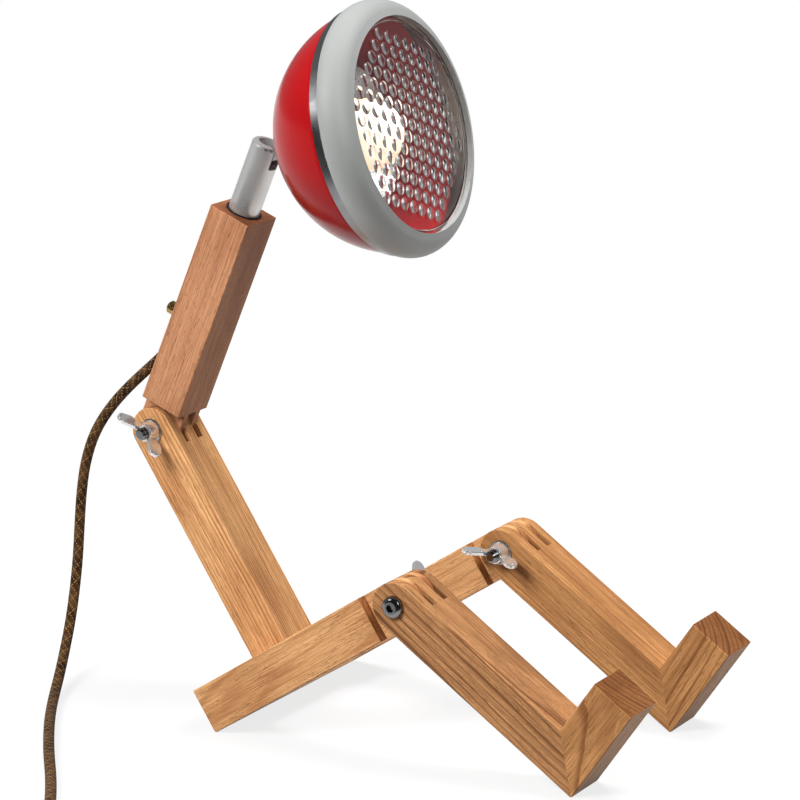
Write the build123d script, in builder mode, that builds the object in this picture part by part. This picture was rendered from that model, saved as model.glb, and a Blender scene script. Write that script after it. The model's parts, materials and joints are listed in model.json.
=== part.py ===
from build123d import *
import os
from math import asin, atan2, cos, degrees, hypot, pi, radians, sin, tan

# Robot shaped desk lamp: square-edged wooden bars joined by finger joints and wing nuts,
# with a round metal head on a slotted neck tube. Millimetres, +Z up, the robot faces +X,
# its left side is +Y. The origin is under the middle of the figure, on the table.

# --- wooden stock -------------------------------------------------------------------
WOOD_DEPTH = 30.0  # across a bar, in the plane that the joints fold in
WOOD_WIDTH = 35.0  # along the joint axes
EDGE_EASE = 0.8  # rounding of the long edges
REST_EASE = 1.6  # rounding of the edges that the lamp rests on
DOWEL_RADIUS = 4.0
DOWEL_PLAY = 0.05

# --- pose and lengths, measured from joint axis to joint axis or end -----------------
SEAT_ANGLE = 33.0  # thigh bars above the table
ELBOW_BEND = 55.6  # upper torso forward of the lower torso's line
HEAD_PITCH = 15.0  # head axis above the horizontal
THIGH_LENGTH = 164.0
LEG_LENGTH = 158.0
FOOT_LENGTH = 69.0
LOWER_TORSO_LENGTH = 162.6
UPPER_TORSO_LENGTH = 159.5
LEG_SPACING = 140.0  # between the middles of the two legs

# --- finger joints -------------------------------------------------------------------
FINGER_SLOT = 6.0  # each of the two slots
SLOT_PITCH = 13.67  # between the middles of the two slots
TONGUE_PLAY = 0.3  # between a tongue and each wall of its slot
SLOT_REACH = 17.5  # from the joint axis to the bottom of a slot
ELBOW_SHOULDER = 17.6  # from the joint axis to the square shoulder
KNEE_SHOULDER = 20.3

# --- bolts and wing nuts, M8 ---------------------------------------------------------
BOLT_RADIUS = 4.0
BOLT_PLAY = 0.06
BOLT_HEAD_RADIUS = 7.0
BOLT_HEAD_HEIGHT = 4.4
BOLT_SOCKET = 5.0  # across the flats
BOLT_SOCKET_DEPTH = 2.6
WASHER_RADIUS = 8.0
WASHER_THICKNESS = 1.2
BOLT_END = 14.2  # from the wood to the bolt's free end
BOLT_END_EASE = 1.4
THREAD_PITCH = 1.25
THREAD_GROOVE = 0.75  # side of each groove's square section
THREAD_GROOVES = 3  # shown where the bolt comes out of the nut
HUB_BASE_RADIUS = 7.0
HUB_TOP_RADIUS = 5.4
HUB_HEIGHT = 8.0
HUB_EASE = 0.7
WING_TIP_RADIUS = 4.4
WING_TIP_OUT = 15.2  # the round tip's middle, from the axis
WING_TIP_UP = 13.4
WING_KNEE_RADIUS = 4.3  # where the wing turns up
WING_KNEE_OUT = 12.4
WING_KNEE_UP = 9.5
WING_ROOT_RADIUS = 2.6
WING_ROOT_OUT = 4.0
WING_ROOT_UP = 5.0
WING_THICKNESS = 2.8
WING_EASE = 0.8

# --- hip -----------------------------------------------------------------------------
HIP_BLOCK_DEPTH = 35.0  # along the seat
HIP_DOWEL_REACH = 18.0
HIP_DOWEL_PITCH = 16.0
TORSO_DOWEL_REACH = 20.0
TORSO_DOWEL_PITCH = 17.0
FOOT_DOWEL_REACH = 12.5
FOOT_DOWEL_PITCH = 17.0

# --- neck ----------------------------------------------------------------------------
NECK_RADIUS = 10.3
NECK_BORE_RADIUS = 6.4
NECK_HEIGHT = 49.5  # above the block
NECK_DEPTH = 28.0  # inside the bush
NECK_TOP_EASE = 2.4
NECK_LIP = 0.7  # rolled lip below the bush
NECK_LIP_THICKNESS = 1.5
PIVOT_HEIGHT = 39.0  # head pivot above the block
PIVOT_PIN_RADIUS = 2.0
PIVOT_PIN_REACH = 8.7  # its blind end, from the middle plane towards the right
TONGUE_THICKNESS = 9.6  # the head's tongue
SLOT_PLAY = 0.5  # between the tongue and each wall of the front slot
SLOT_REACH_DOWN = 4.2  # from the pivot to the bottom of the slot
SLOT_EASE = 1.0  # radius in the slot's bottom corners
KERF = 1.6  # cross cut through the slot's cheeks
KERF_ABOVE_PIVOT = 7.8
KERF_FROM_AXIS = 3.6
BUSH_RADIUS = 11.2
BUSH_PLAY = 0.08
BUSH_FLANGE = 0.6
BUSH_FLANGE_RADIUS = 11.8
WIRE_CHANNEL_RADIUS = 4.5

# --- head, measured along its own axis from the pivot --------------------------------
SHELL_RADIUS = 78.0
SHELL_NOSE = 23.8  # the shell's back end, beside the stem
SHELL_CENTRE = SHELL_NOSE + SHELL_RADIUS
SHELL_WALL = 1.0
SHELL_RIM = SHELL_CENTRE - 11.3
HEM_BACK = SHELL_CENTRE - 16.9  # the shell's raised hem, just behind the band
HEM_STEP = 0.6
HEM_PLAY = 0.15  # between the hem and the band
STEM_HOLE_RADIUS = 5.1
BAND_BACK = SHELL_CENTRE - 14.3
BAND_FLANGE = SHELL_CENTRE + 1.2  # front face of the band's inward flange
BAND_RADIUS = SHELL_RADIUS + 0.1
BAND_WALL = 1.0
BAND_OPENING = BAND_RADIUS - 8.1
BEZEL_BACK = SHELL_CENTRE - 7.6
BEZEL_FRONT = SHELL_CENTRE + 11.4
BEZEL_BACK_RADIUS = BAND_RADIUS + 2.2
BEZEL_MIDDLE = SHELL_CENTRE - 0.8
BEZEL_MIDDLE_RADIUS = BAND_RADIUS + 2.8
BEZEL_SHOULDER = SHELL_CENTRE + 7.0  # where the side turns into the rounded front edge
BEZEL_SHOULDER_RADIUS = BAND_RADIUS - 1.3
BEZEL_CREASE = SHELL_CENTRE + 9.8  # where the rounded edge meets the sloping front face
BEZEL_CREASE_RADIUS = BAND_RADIUS - 5.5
BEZEL_LIP_BACK = SHELL_CENTRE + 7.8  # inner face of the lip round the opening
BEZEL_CORNER_RADIUS = BAND_RADIUS - 3.7
BEZEL_OPENING = BAND_RADIUS - 9.9
BEZEL_WALL = 1.6
LENS_RADIUS = BAND_RADIUS - 5.7
LENS_THICKNESS = 3.0
LENS_CROWN = 2.6
GASKET_WALL = 1.5
GASKET_FRONT = 0.8  # between the lens and the bezel's lip
LENS_PLAY = 0.1

# --- inside the head -----------------------------------------------------------------
TONGUE_EYE_RADIUS = 3.9
TONGUE_HEIGHT = 7.0
BOSS_BACK = 13.5
BOSS_FRONT = 23.85
BOSS_RADIUS = 6.2
STEM_RADIUS = 4.9
STEM_END = 31.4
STEM_BORE_RADIUS = 2.6
STEM_NUT_BACK = 25.55
STEM_NUT_FRONT = 28.6
STEM_NUT_ACROSS = 14.0
HOLDER_BACK = 28.8
HOLDER_FRONT = 52.4
HOLDER_RADIUS = 14.0
HOLDER_WALL = 2.0
HOLDER_FLOOR = 33.4
HOLDER_SHOULDER = 47.4
HOLDER_SHOULDER_RADIUS = 17.0
REFLECTOR_WALL = 0.8
REFLECTOR_FRONT = 68.4
REFLECTOR_RADIUS = 47.0
HOLDER_RING_THICKNESS = 3.0
BULB_CAP_BACK = 34.0
BULB_CAP_FRONT = 54.4
BULB_CAP_RADIUS = 6.9
BULB_CENTRE = 77.4
BULB_RADIUS = 22.5
BULB_NECK_RADIUS = 8.2
BULB_FIT = 0.2

# --- switch, on the back of the upper torso ------------------------------------------
SWITCH_ALONG = 75.4  # from the elbow axis
SWITCH_BODY_RADIUS = 8.0
SWITCH_BODY_DEPTH = 17.0
SWITCH_PLAY = 0.15
SWITCH_NUT_RADIUS = 9.6
SWITCH_NUT_THICKNESS = 2.0
SWITCH_BUSH_RADIUS = 4.7
SWITCH_BUSH_HEIGHT = 3.8
SWITCH_SHAFT_RADIUS = 2.0
KNOB_RADIUS = 4.3
KNOB_HEIGHT = 8.0
KNOB_GAP = 0.3
KNOB_DOME = 1.0
KNOB_FLUTES = 16
KNOB_FLUTE_RADIUS = 0.45

# --- cord, gland and plug -------------------------------------------------------------
CORD_RADIUS = 3.5
CORD_FACE_ANGLE = 24.0  # between the cord and the back face where it leaves
CORD_ALONG = 52.0  # from the elbow axis
GLAND_INSIDE = 14.0
GLAND_OUTSIDE = 10.0
GLAND_BACK_RADIUS = 4.7
GLAND_TIP_RADIUS = 4.1
GLAND_PLAY = 0.1
GLAND_HOLE_RADIUS = CORD_RADIUS + GLAND_PLAY
CORD_START = -9.0  # inside the gland, from the back face
COIL_MIDDLE_RADIUS = 35.0
COIL_ROWS = 3
COIL_LAYERS = 2
COIL_LIFT = 1.0  # the tie's strap lies under the coil
COIL_EASE = 3.0
TIE_WIDTH = 9.0
TIE_PLAY = 0.5  # between the strap and the coil's curved sides
PLUG_WIDTH = 35.3
PLUG_THICKNESS = 13.7
PLUG_LENGTH = 33.0
PLUG_GRIP_WIDTH = 16.0  # where the sleeve meets the plug
PLUG_GRIP_THICKNESS = 11.5
PLUG_SLEEVE_LENGTH = 24.0
PLUG_SLEEVE_RADIUS = 4.6
PIN_RADIUS = 2.0
PIN_LENGTH = 19.0
PIN_PITCH = 18.6
PIN_SEAT = 6.0  # length moulded into the plug
PIN_ROOT_RADIUS = 1.7  # of that length
PIN_END_EASE = 0.6

HALF_DEPTH = WOOD_DEPTH / 2
HALF_WIDTH = WOOD_WIDTH / 2
LATERAL = (0, -1, 0)  # normal of every side profile, towards the robot's right
SIDES = {"right": -1, "left": 1}
made = []


def polar(angle):
    """Unit vector in the plane that the joints fold in, counted up from forward."""
    return Vector(cos(radians(angle)), 0, sin(radians(angle)))


def side_plane(point, angle, y=0.0):
    """Side view plane with its origin on a joint axis and its x along a bar."""
    return Plane(origin=point + Vector(0, y, 0), x_dir=polar(angle), z_dir=LATERAL)


def keep(builder, name, colour):
    """Label one finished piece and write its file."""
    builder.part.label = name
    builder.part.color = Color(*colour)
    export_step(builder.part, f"parts/{name}.step")
    made.append(builder.part)


# --- where the joints are ---------------------------------------------------------------
def rest_lift(angle):
    """How far an eased right-angled corner stands above its sharp corner."""
    return REST_EASE * (cos(radians(angle)) + sin(radians(angle)) - 1)


torso_angle = SEAT_ANGLE + 90
upper_angle = torso_angle - ELBOW_BEND
knee_height = (
    THIGH_LENGTH * sin(radians(SEAT_ANGLE))
    + HALF_DEPTH * cos(radians(SEAT_ANGLE))
    - rest_lift(SEAT_ANGLE)
)
leg_reach = LEG_LENGTH - REST_EASE
heel_reach = HALF_DEPTH - REST_EASE
leg_drop = degrees(
    asin((knee_height - REST_EASE) / hypot(leg_reach, heel_reach)) - atan2(heel_reach, leg_reach)
)
leg_angle = -leg_drop
torso_foot = polar(SEAT_ANGLE) * (HIP_BLOCK_DEPTH / 2) + polar(torso_angle) * WOOD_DEPTH
elbow_from_corner = torso_foot + polar(torso_angle) * LOWER_TORSO_LENGTH
knee_from_corner = polar(SEAT_ANGLE) * THIGH_LENGTH + polar(torso_angle) * HALF_DEPTH
toe_from_corner = (
    knee_from_corner
    + polar(leg_angle) * LEG_LENGTH
    + polar(leg_angle + 90) * (FOOT_LENGTH - HALF_DEPTH)
)
middle = (elbow_from_corner.X - HALF_DEPTH + toe_from_corner.X) / 2
seat_corner = Vector(-middle, 0, -rest_lift(SEAT_ANGLE))
knee = seat_corner + knee_from_corner
elbow = seat_corner + elbow_from_corner
block_top = elbow + polar(upper_angle) * UPPER_TORSO_LENGTH
pivot = block_top + polar(upper_angle) * PIVOT_HEIGHT
back_angle = upper_angle + 90
places = {"seat corner": seat_corner, "knee": knee, "elbow": elbow, "pivot": pivot}
for spot, point in places.items():
    print(f"{spot}: x {point.X:.4f} z {point.Z:.4f}")
print(f"leg angle {leg_angle:.4f}, upper torso angle {upper_angle:.4f}")

slot_places = (-SLOT_PITCH / 2, SLOT_PITCH / 2)
os.makedirs("parts", exist_ok=True)

PALE_WOOD = (0.80, 0.58, 0.38)
BROWN_WOOD = (0.62, 0.40, 0.22)
STEEL = (0.72, 0.72, 0.74)
BRASS = (0.75, 0.60, 0.30)
DARK = (0.10, 0.10, 0.10)


# --- wooden bars ------------------------------------------------------------------------
def fingered_bar(plane, length):
    """Bar with a rounded, twice slotted end round the joint axis."""
    with BuildPart() as bar:
        with BuildSketch(plane):
            Circle(HALF_DEPTH)
            Rectangle(length, WOOD_DEPTH, align=(Align.MIN, Align.CENTER))
        extrude(amount=HALF_WIDTH, both=True)
        fillet(bar.faces().filter_by(Axis.Y).edges(), EDGE_EASE)
        cut_finger_slots(plane)
    return bar


def cut_finger_slots(plane):
    """Two slots and the bolt hole, cut from the part that is being built."""
    for place in slot_places:
        with BuildSketch(plane.offset(place)) as slot:
            with Locations((SLOT_REACH, 0)):
                Rectangle(SLOT_REACH + WOOD_DEPTH, 2 * WOOD_DEPTH, align=(Align.MAX, Align.CENTER))
        extrude(slot.sketch, amount=FINGER_SLOT / 2, both=True, mode=Mode.SUBTRACT)
    drill_bolt_hole(plane)


def drill_bolt_hole(plane):
    """Clearance hole on the joint axis, cut from the part that is being built."""
    with BuildSketch(plane) as hole:
        Circle(BOLT_RADIUS + BOLT_PLAY)
    extrude(hole.sketch, amount=WOOD_WIDTH, both=True, mode=Mode.SUBTRACT)


def tongued_bar(plane, length, shoulder, resting):
    """Square bar that ends in a shoulder and two round tongues."""
    with BuildPart() as bar:
        with BuildSketch(plane):
            with Locations((shoulder, 0)):
                Rectangle(length - shoulder, WOOD_DEPTH, align=(Align.MIN, Align.CENTER))
        extrude(amount=HALF_WIDTH, both=True)
        if resting:
            fillet(bar.edges().filter_by(Axis.Y).sort_by(Axis.Z)[0], REST_EASE)
        fillet(bar.faces().filter_by(Axis.Y).edges(), EDGE_EASE)
        for place in slot_places:
            with BuildSketch(plane.offset(place)):
                Circle(HALF_DEPTH)
                Rectangle(shoulder, WOOD_DEPTH, align=(Align.MIN, Align.CENTER))
            extrude(amount=FINGER_SLOT / 2 - TONGUE_PLAY, both=True)
        drill_bolt_hole(plane)
    return bar


def dowel_hole(plane, reach):
    """Blind dowel hole into the part that is being built, from the plane both ways."""
    with BuildSketch(plane) as hole:
        Circle(DOWEL_RADIUS + DOWEL_PLAY)
    extrude(hole.sketch, amount=reach + DOWEL_PLAY, both=True, mode=Mode.SUBTRACT)


def dowels(planes, reach):
    """Round dowels with eased ends, halfway through each plane."""
    with BuildPart() as pins:
        for plane in planes:
            with BuildSketch(plane):
                Circle(DOWEL_RADIUS)
            extrude(amount=reach, both=True)
        chamfer(pins.edges().filter_by(GeomType.CIRCLE), DOWEL_RADIUS / 8)
    return pins


torso_seat = seat_corner + torso_foot
torso_dowel_planes = [
    Plane(
        origin=torso_seat + Vector(0, place, 0),
        x_dir=(0, 1, 0),
        z_dir=polar(torso_angle),
    )
    for place in (-TORSO_DOWEL_PITCH / 2, TORSO_DOWEL_PITCH / 2)
]


def hip_dowel_planes(side):
    """The two dowel places between the hip block and one thigh bar."""
    middle_line = seat_corner + polar(torso_angle) * HALF_DEPTH
    y = side * (LEG_SPACING / 2 - HALF_WIDTH)
    return [
        Plane(
            origin=middle_line
            + polar(SEAT_ANGLE) * (HIP_BLOCK_DEPTH / 2 + place)
            + Vector(0, y, 0),
            x_dir=polar(SEAT_ANGLE),
            z_dir=LATERAL,
        )
        for place in (-HIP_DOWEL_PITCH / 2, HIP_DOWEL_PITCH / 2)
    ]


# Thigh bars: from the knee axis back to the square end behind the hip block
for side_name, side in SIDES.items():
    thigh_plane = side_plane(knee, SEAT_ANGLE + 180, side * LEG_SPACING / 2)
    thigh = tongued_bar(thigh_plane, THIGH_LENGTH, KNEE_SHOULDER, resting=True)
    with thigh:
        for hole_plane in hip_dowel_planes(side):
            dowel_hole(hole_plane, HIP_DOWEL_REACH)
    keep(thigh, f"{side_name}_thigh_bar", PALE_WOOD)

# Hip block: the cross piece between the thigh bars that carries the torso
with BuildPart() as hip_block:
    with BuildSketch(side_plane(seat_corner, SEAT_ANGLE)):
        Rectangle(HIP_BLOCK_DEPTH, WOOD_DEPTH, align=(Align.MIN, Align.MIN))
    extrude(amount=LEG_SPACING / 2 - HALF_WIDTH, both=True)
    fillet(hip_block.edges().filter_by(Axis.Y).sort_by(Axis.Z)[0], REST_EASE)
    fillet(hip_block.edges().filter_by(Axis.Y).sort_by(Axis.Z)[-1], EDGE_EASE)
    for hole_side in SIDES.values():
        for hole_plane in hip_dowel_planes(hole_side):
            dowel_hole(hole_plane, HIP_DOWEL_REACH)
    for hole_plane in torso_dowel_planes:
        dowel_hole(hole_plane, TORSO_DOWEL_REACH)
keep(hip_block, "hip_cross_block", PALE_WOOD)

all_hip_planes = hip_dowel_planes(-1) + hip_dowel_planes(1)
keep(dowels(all_hip_planes, HIP_DOWEL_REACH), "hip_dowels", PALE_WOOD)
keep(dowels(torso_dowel_planes, TORSO_DOWEL_REACH), "torso_dowels", PALE_WOOD)

# Lower torso: three fingers round the elbow bolt, square end on the hip block
lower_torso = fingered_bar(side_plane(elbow, torso_angle + 180), LOWER_TORSO_LENGTH)
with lower_torso:
    for hole_plane in torso_dowel_planes:
        dowel_hole(hole_plane, TORSO_DOWEL_REACH)
keep(lower_torso, "lower_torso_block", PALE_WOOD)


# --- legs: a fingered shin and a foot, joined by a mitre --------------------------------
mitre_middle = Vector(LEG_LENGTH - HALF_DEPTH, 0)


def mitre_plane(plane):
    """The plane of the mitre; its normal points from the shin into the foot."""
    return Plane(
        origin=plane.from_local_coords(mitre_middle),
        x_dir=LATERAL,
        z_dir=plane.x_dir + plane.y_dir,
    )


def foot_dowel_planes(plane):
    """The two dowel places across the mitre."""
    cut = mitre_plane(plane)
    return [
        Plane(origin=cut.from_local_coords(Vector(place, 0)), x_dir=cut.x_dir, z_dir=cut.z_dir)
        for place in (-FOOT_DOWEL_PITCH / 2, FOOT_DOWEL_PITCH / 2)
    ]


def leg_piece(plane, wanted):
    """Shin or foot: the bent bar is shaped whole, then parted at the mitre."""
    with BuildPart() as piece:
        with BuildSketch(plane):
            Circle(HALF_DEPTH)
            Rectangle(LEG_LENGTH, WOOD_DEPTH, align=(Align.MIN, Align.CENTER))
            with Locations((LEG_LENGTH, -HALF_DEPTH)):
                Rectangle(WOOD_DEPTH, FOOT_LENGTH, align=(Align.MAX, Align.MIN))
        extrude(amount=HALF_WIDTH, both=True)
        heel_edge = piece.edges().filter_by(Axis.Y).sort_by(Axis.Z)[0]
        fillet(heel_edge, REST_EASE)
        fillet(piece.faces().filter_by(Axis.Y).edges(), EDGE_EASE)
        split(bisect_by=mitre_plane(plane), keep=wanted)
        if wanted == Keep.BOTTOM:
            cut_finger_slots(plane)
        for hole_plane in foot_dowel_planes(plane):
            dowel_hole(hole_plane, FOOT_DOWEL_REACH)
    return piece


for side_name, side in SIDES.items():
    leg_plane = side_plane(knee, leg_angle, side * LEG_SPACING / 2)
    keep(leg_piece(leg_plane, Keep.BOTTOM), f"{side_name}_shin_bar", BROWN_WOOD)
    keep(leg_piece(leg_plane, Keep.TOP), f"{side_name}_foot_block", BROWN_WOOD)
    keep(
        dowels(foot_dowel_planes(leg_plane), FOOT_DOWEL_REACH),
        f"{side_name}_foot_dowels",
        PALE_WOOD,
    )


# --- bolts, washers and wing nuts --------------------------------------------------------
def lateral_plane(point, y, towards, turn=0.0):
    """Plane across a joint axis, at y, facing left (1) or right (-1)."""
    return Plane(origin=Vector(point.X, y, point.Z), x_dir=polar(turn), z_dir=(0, towards, 0))


def half_plane(plane):
    """Plane through another plane's x and its normal, for profiles turned round the normal."""
    return Plane(origin=plane.origin, x_dir=plane.x_dir, z_dir=-plane.y_dir)


bolt_length = WOOD_WIDTH + BOLT_END


def button_bolt(head_plane):
    """Button head bolt; the plane is the wood's face, facing out of it."""
    with BuildPart() as bolt:
        with BuildSketch(head_plane):
            Circle(BOLT_HEAD_RADIUS)
        extrude(amount=BOLT_HEAD_HEIGHT)
        rim = bolt.faces().sort_by(Axis(head_plane.origin, head_plane.z_dir))[-1].edges()
        fillet(rim, BOLT_HEAD_HEIGHT * 0.75)
        with BuildSketch(head_plane):
            Circle(BOLT_RADIUS)
        extrude(amount=-bolt_length)
        with BuildSketch(head_plane.offset(BOLT_HEAD_HEIGHT - BOLT_SOCKET_DEPTH)):
            RegularPolygon(BOLT_SOCKET / 2, 6, major_radius=False)
        extrude(amount=BOLT_HEAD_HEIGHT, mode=Mode.SUBTRACT)
        end = bolt.faces().sort_by(Axis(head_plane.origin, head_plane.z_dir))[0].edges()
        chamfer(end, BOLT_END_EASE)
        with BuildSketch(half_plane(head_plane)) as grooves:
            for turn in range(1, THREAD_GROOVES + 1):
                with Locations((BOLT_RADIUS, BOLT_END_EASE + turn * THREAD_PITCH - bolt_length)):
                    Rectangle(THREAD_GROOVE, THREAD_GROOVE, rotation=45)
        bolt_axis = Axis(head_plane.origin, head_plane.z_dir)
        revolve(grooves.sketch, axis=bolt_axis, mode=Mode.SUBTRACT)
    return bolt


def flat_washer(face_plane):
    """Washer lying on the wood's face."""
    with BuildPart() as washer:
        with BuildSketch(face_plane):
            Circle(WASHER_RADIUS)
            Circle(BOLT_RADIUS + BOLT_PLAY, mode=Mode.SUBTRACT)
        extrude(amount=WASHER_THICKNESS)
        chamfer(washer.edges().sort_by(SortBy.LENGTH)[-2:], WASHER_THICKNESS / 6)
    return washer


def wing_nut(seat_plane):
    """Wing nut with a round hub; its wings lie along the plane's x."""
    nut_axis = Axis(seat_plane.origin, seat_plane.z_dir)
    wing_plane = half_plane(seat_plane)
    hub_base = (HUB_BASE_RADIUS, 0)
    hub_top = (HUB_TOP_RADIUS, HUB_HEIGHT)
    with BuildPart() as nut:
        with BuildSketch(wing_plane):
            with BuildLine():
                Polyline((0, 0), hub_base, hub_top, (0, HUB_HEIGHT), close=True)
            make_face()
        revolve(axis=nut_axis)
        fillet(nut.faces().sort_by(nut_axis)[-1].edges(), HUB_EASE)
        for outwards in (-1, 1):
            with BuildSketch(wing_plane):
                with Locations((outwards * WING_ROOT_OUT, WING_ROOT_UP)):
                    Circle(WING_ROOT_RADIUS)
                with Locations((outwards * WING_KNEE_OUT, WING_KNEE_UP)):
                    Circle(WING_KNEE_RADIUS)
                with Locations((outwards * WING_TIP_OUT, WING_TIP_UP)):
                    Circle(WING_TIP_RADIUS)
                make_hull()
            extrude(amount=WING_THICKNESS / 2, both=True)
        wing_faces = nut.faces().filter_by(
            lambda f: f.geom_type == GeomType.PLANE
            and abs(f.normal_at().dot(wing_plane.z_dir)) > 0.99
        )
        tips = wing_faces.edges().filter_by(
            lambda e: e.distance_to(seat_plane.origin) > HUB_BASE_RADIUS + WING_TIP_RADIUS
        )
        fillet(tips, WING_EASE)
        with BuildSketch(seat_plane):
            Circle(BOLT_RADIUS + BOLT_PLAY)
        extrude(amount=2 * HUB_HEIGHT, mode=Mode.SUBTRACT)
    return nut


def bolted_joint(name, point, bolt_y, head_side, wing_turn):
    """Bolt, washer and wing nut of one joint whose wood is centred on bolt_y."""
    head_face = bolt_y + head_side * HALF_WIDTH
    nut_face = bolt_y - head_side * HALF_WIDTH
    keep(button_bolt(lateral_plane(point, head_face, head_side)), f"{name}_bolt", STEEL)
    keep(flat_washer(lateral_plane(point, nut_face, -head_side)), f"{name}_washer", STEEL)
    nut_seat = nut_face - head_side * WASHER_THICKNESS
    keep(
        wing_nut(lateral_plane(point, nut_seat, -head_side, wing_turn)),
        f"{name}_wing_nut",
        STEEL,
    )


bolted_joint("elbow", elbow, 0.0, 1, 141.0)
bolted_joint("right_knee", knee, -LEG_SPACING / 2, -1, 132.0)
bolted_joint("left_knee", knee, LEG_SPACING / 2, 1, 171.0)

# --- upper torso --------------------------------------------------------------------------
neck_axis = polar(upper_angle)
front_dir = polar(upper_angle - 90)
top_plane = Plane(origin=block_top, x_dir=front_dir, z_dir=neck_axis)
back_dir = polar(back_angle)
switch_plane = Plane(
    origin=elbow + neck_axis * SWITCH_ALONG + back_dir * HALF_DEPTH,
    x_dir=neck_axis,
    z_dir=back_dir,
)
cord_dir = -neck_axis * cos(radians(CORD_FACE_ANGLE)) + back_dir * sin(radians(CORD_FACE_ANGLE))
cord_exit = elbow + neck_axis * CORD_ALONG + back_dir * HALF_DEPTH
cord_plane = Plane(origin=cord_exit, x_dir=(0, 1, 0), z_dir=cord_dir)

upper_plane = side_plane(elbow, upper_angle)
upper_bar = tongued_bar(upper_plane, UPPER_TORSO_LENGTH, ELBOW_SHOULDER, resting=False)
with BuildPart() as upper_torso:
    add(upper_bar.part)
    with BuildSketch(top_plane):
        Circle(BUSH_RADIUS)
    extrude(amount=-(NECK_DEPTH + NECK_LIP_THICKNESS), mode=Mode.SUBTRACT)
    with BuildSketch(top_plane):
        Circle(WIRE_CHANNEL_RADIUS)
    extrude(amount=-(UPPER_TORSO_LENGTH - SWITCH_ALONG), mode=Mode.SUBTRACT)
    with BuildSketch(switch_plane):
        Circle(SWITCH_BODY_RADIUS + SWITCH_PLAY)
    extrude(amount=-(SWITCH_BODY_DEPTH + SWITCH_PLAY), mode=Mode.SUBTRACT)
    with BuildSketch(cord_plane.offset(GLAND_OUTSIDE)):
        Circle(GLAND_BACK_RADIUS + DOWEL_PLAY)
    extrude(amount=-(GLAND_OUTSIDE + GLAND_INSIDE + 2 * CORD_RADIUS), mode=Mode.SUBTRACT)
keep(upper_torso, "upper_torso_block", PALE_WOOD)

# Neck bush: black sleeve pressed into the block, its thin flange showing round the tube
with BuildPart() as neck_bush:
    with BuildSketch(top_plane):
        Circle(BUSH_FLANGE_RADIUS)
    extrude(amount=BUSH_FLANGE)
    with BuildSketch(top_plane):
        Circle(BUSH_RADIUS)
    extrude(amount=-NECK_DEPTH)
    with BuildSketch(top_plane.offset(BUSH_FLANGE)):
        Circle(NECK_RADIUS + BUSH_PLAY)
    extrude(amount=-(BUSH_FLANGE + NECK_DEPTH), mode=Mode.SUBTRACT)
keep(neck_bush, "neck_bush", DARK)

# Rotary switch: body in the wood, brass nut and bush on the back face, knob outside
with BuildPart() as switch_body:
    with BuildSketch(switch_plane):
        Circle(SWITCH_BODY_RADIUS)
    extrude(amount=-SWITCH_BODY_DEPTH)
    with BuildSketch(cord_plane.offset(GLAND_OUTSIDE)):
        Circle(GLAND_BACK_RADIUS + DOWEL_PLAY)
    extrude(amount=-(GLAND_OUTSIDE + GLAND_INSIDE + 2 * CORD_RADIUS), mode=Mode.SUBTRACT)
keep(switch_body, "switch_body", DARK)

with BuildPart() as switch_nut:
    with BuildSketch(switch_plane):
        Circle(SWITCH_NUT_RADIUS)
        Circle(SWITCH_BUSH_RADIUS + BOLT_PLAY, mode=Mode.SUBTRACT)
    extrude(amount=SWITCH_NUT_THICKNESS)
    nut_top = switch_nut.faces().sort_by(Axis(switch_plane.origin, back_dir))[-1]
    chamfer(nut_top.edges().sort_by(SortBy.LENGTH)[-1], SWITCH_NUT_THICKNESS / 3)
keep(switch_nut, "switch_mounting_nut", BRASS)

with BuildPart() as switch_bush:
    with BuildSketch(switch_plane):
        Circle(SWITCH_BUSH_RADIUS)
    extrude(amount=SWITCH_BUSH_HEIGHT)
    with BuildSketch(switch_plane):
        Circle(SWITCH_SHAFT_RADIUS + BOLT_PLAY)
    extrude(amount=SWITCH_BUSH_HEIGHT, mode=Mode.SUBTRACT)
keep(switch_bush, "switch_bush", BRASS)

knob_plane = switch_plane.offset(SWITCH_BUSH_HEIGHT + KNOB_GAP)
with BuildPart() as switch_knob:
    with BuildSketch(knob_plane):
        Circle(KNOB_RADIUS)
        with PolarLocations(KNOB_RADIUS, KNOB_FLUTES):
            Circle(KNOB_FLUTE_RADIUS, mode=Mode.SUBTRACT)
    extrude(amount=KNOB_HEIGHT - KNOB_DOME)
    with BuildSketch(knob_plane.offset(KNOB_HEIGHT - KNOB_DOME)):
        Circle(KNOB_RADIUS - KNOB_FLUTE_RADIUS)
    extrude(amount=KNOB_DOME, taper=35)
    with BuildSketch(knob_plane):
        Circle(SWITCH_SHAFT_RADIUS)
    extrude(amount=-(SWITCH_BUSH_HEIGHT + KNOB_GAP) + BOLT_PLAY)
keep(switch_knob, "switch_knob", BRASS)

# Cord gland: tapered strain relief in the slanting hole
with BuildPart() as cord_gland:
    with BuildSketch(cord_plane.offset(-GLAND_INSIDE)):
        Circle(GLAND_BACK_RADIUS)
    with BuildSketch(cord_plane.offset(-GLAND_OUTSIDE / 2)):
        Circle(GLAND_BACK_RADIUS)
    loft()
    with BuildSketch(cord_plane.offset(-GLAND_OUTSIDE / 2)):
        Circle(GLAND_BACK_RADIUS)
    with BuildSketch(cord_plane.offset(GLAND_OUTSIDE)):
        Circle(GLAND_TIP_RADIUS)
    loft()
    with BuildSketch(cord_plane.offset(-GLAND_INSIDE)):
        Circle(GLAND_HOLE_RADIUS)
    extrude(amount=GLAND_INSIDE + GLAND_OUTSIDE, mode=Mode.SUBTRACT)
    with BuildSketch(switch_plane):
        Circle(SWITCH_BODY_RADIUS + SWITCH_PLAY)
    extrude(amount=-SWITCH_BODY_DEPTH, mode=Mode.SUBTRACT)
keep(cord_gland, "cord_gland", DARK)

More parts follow.
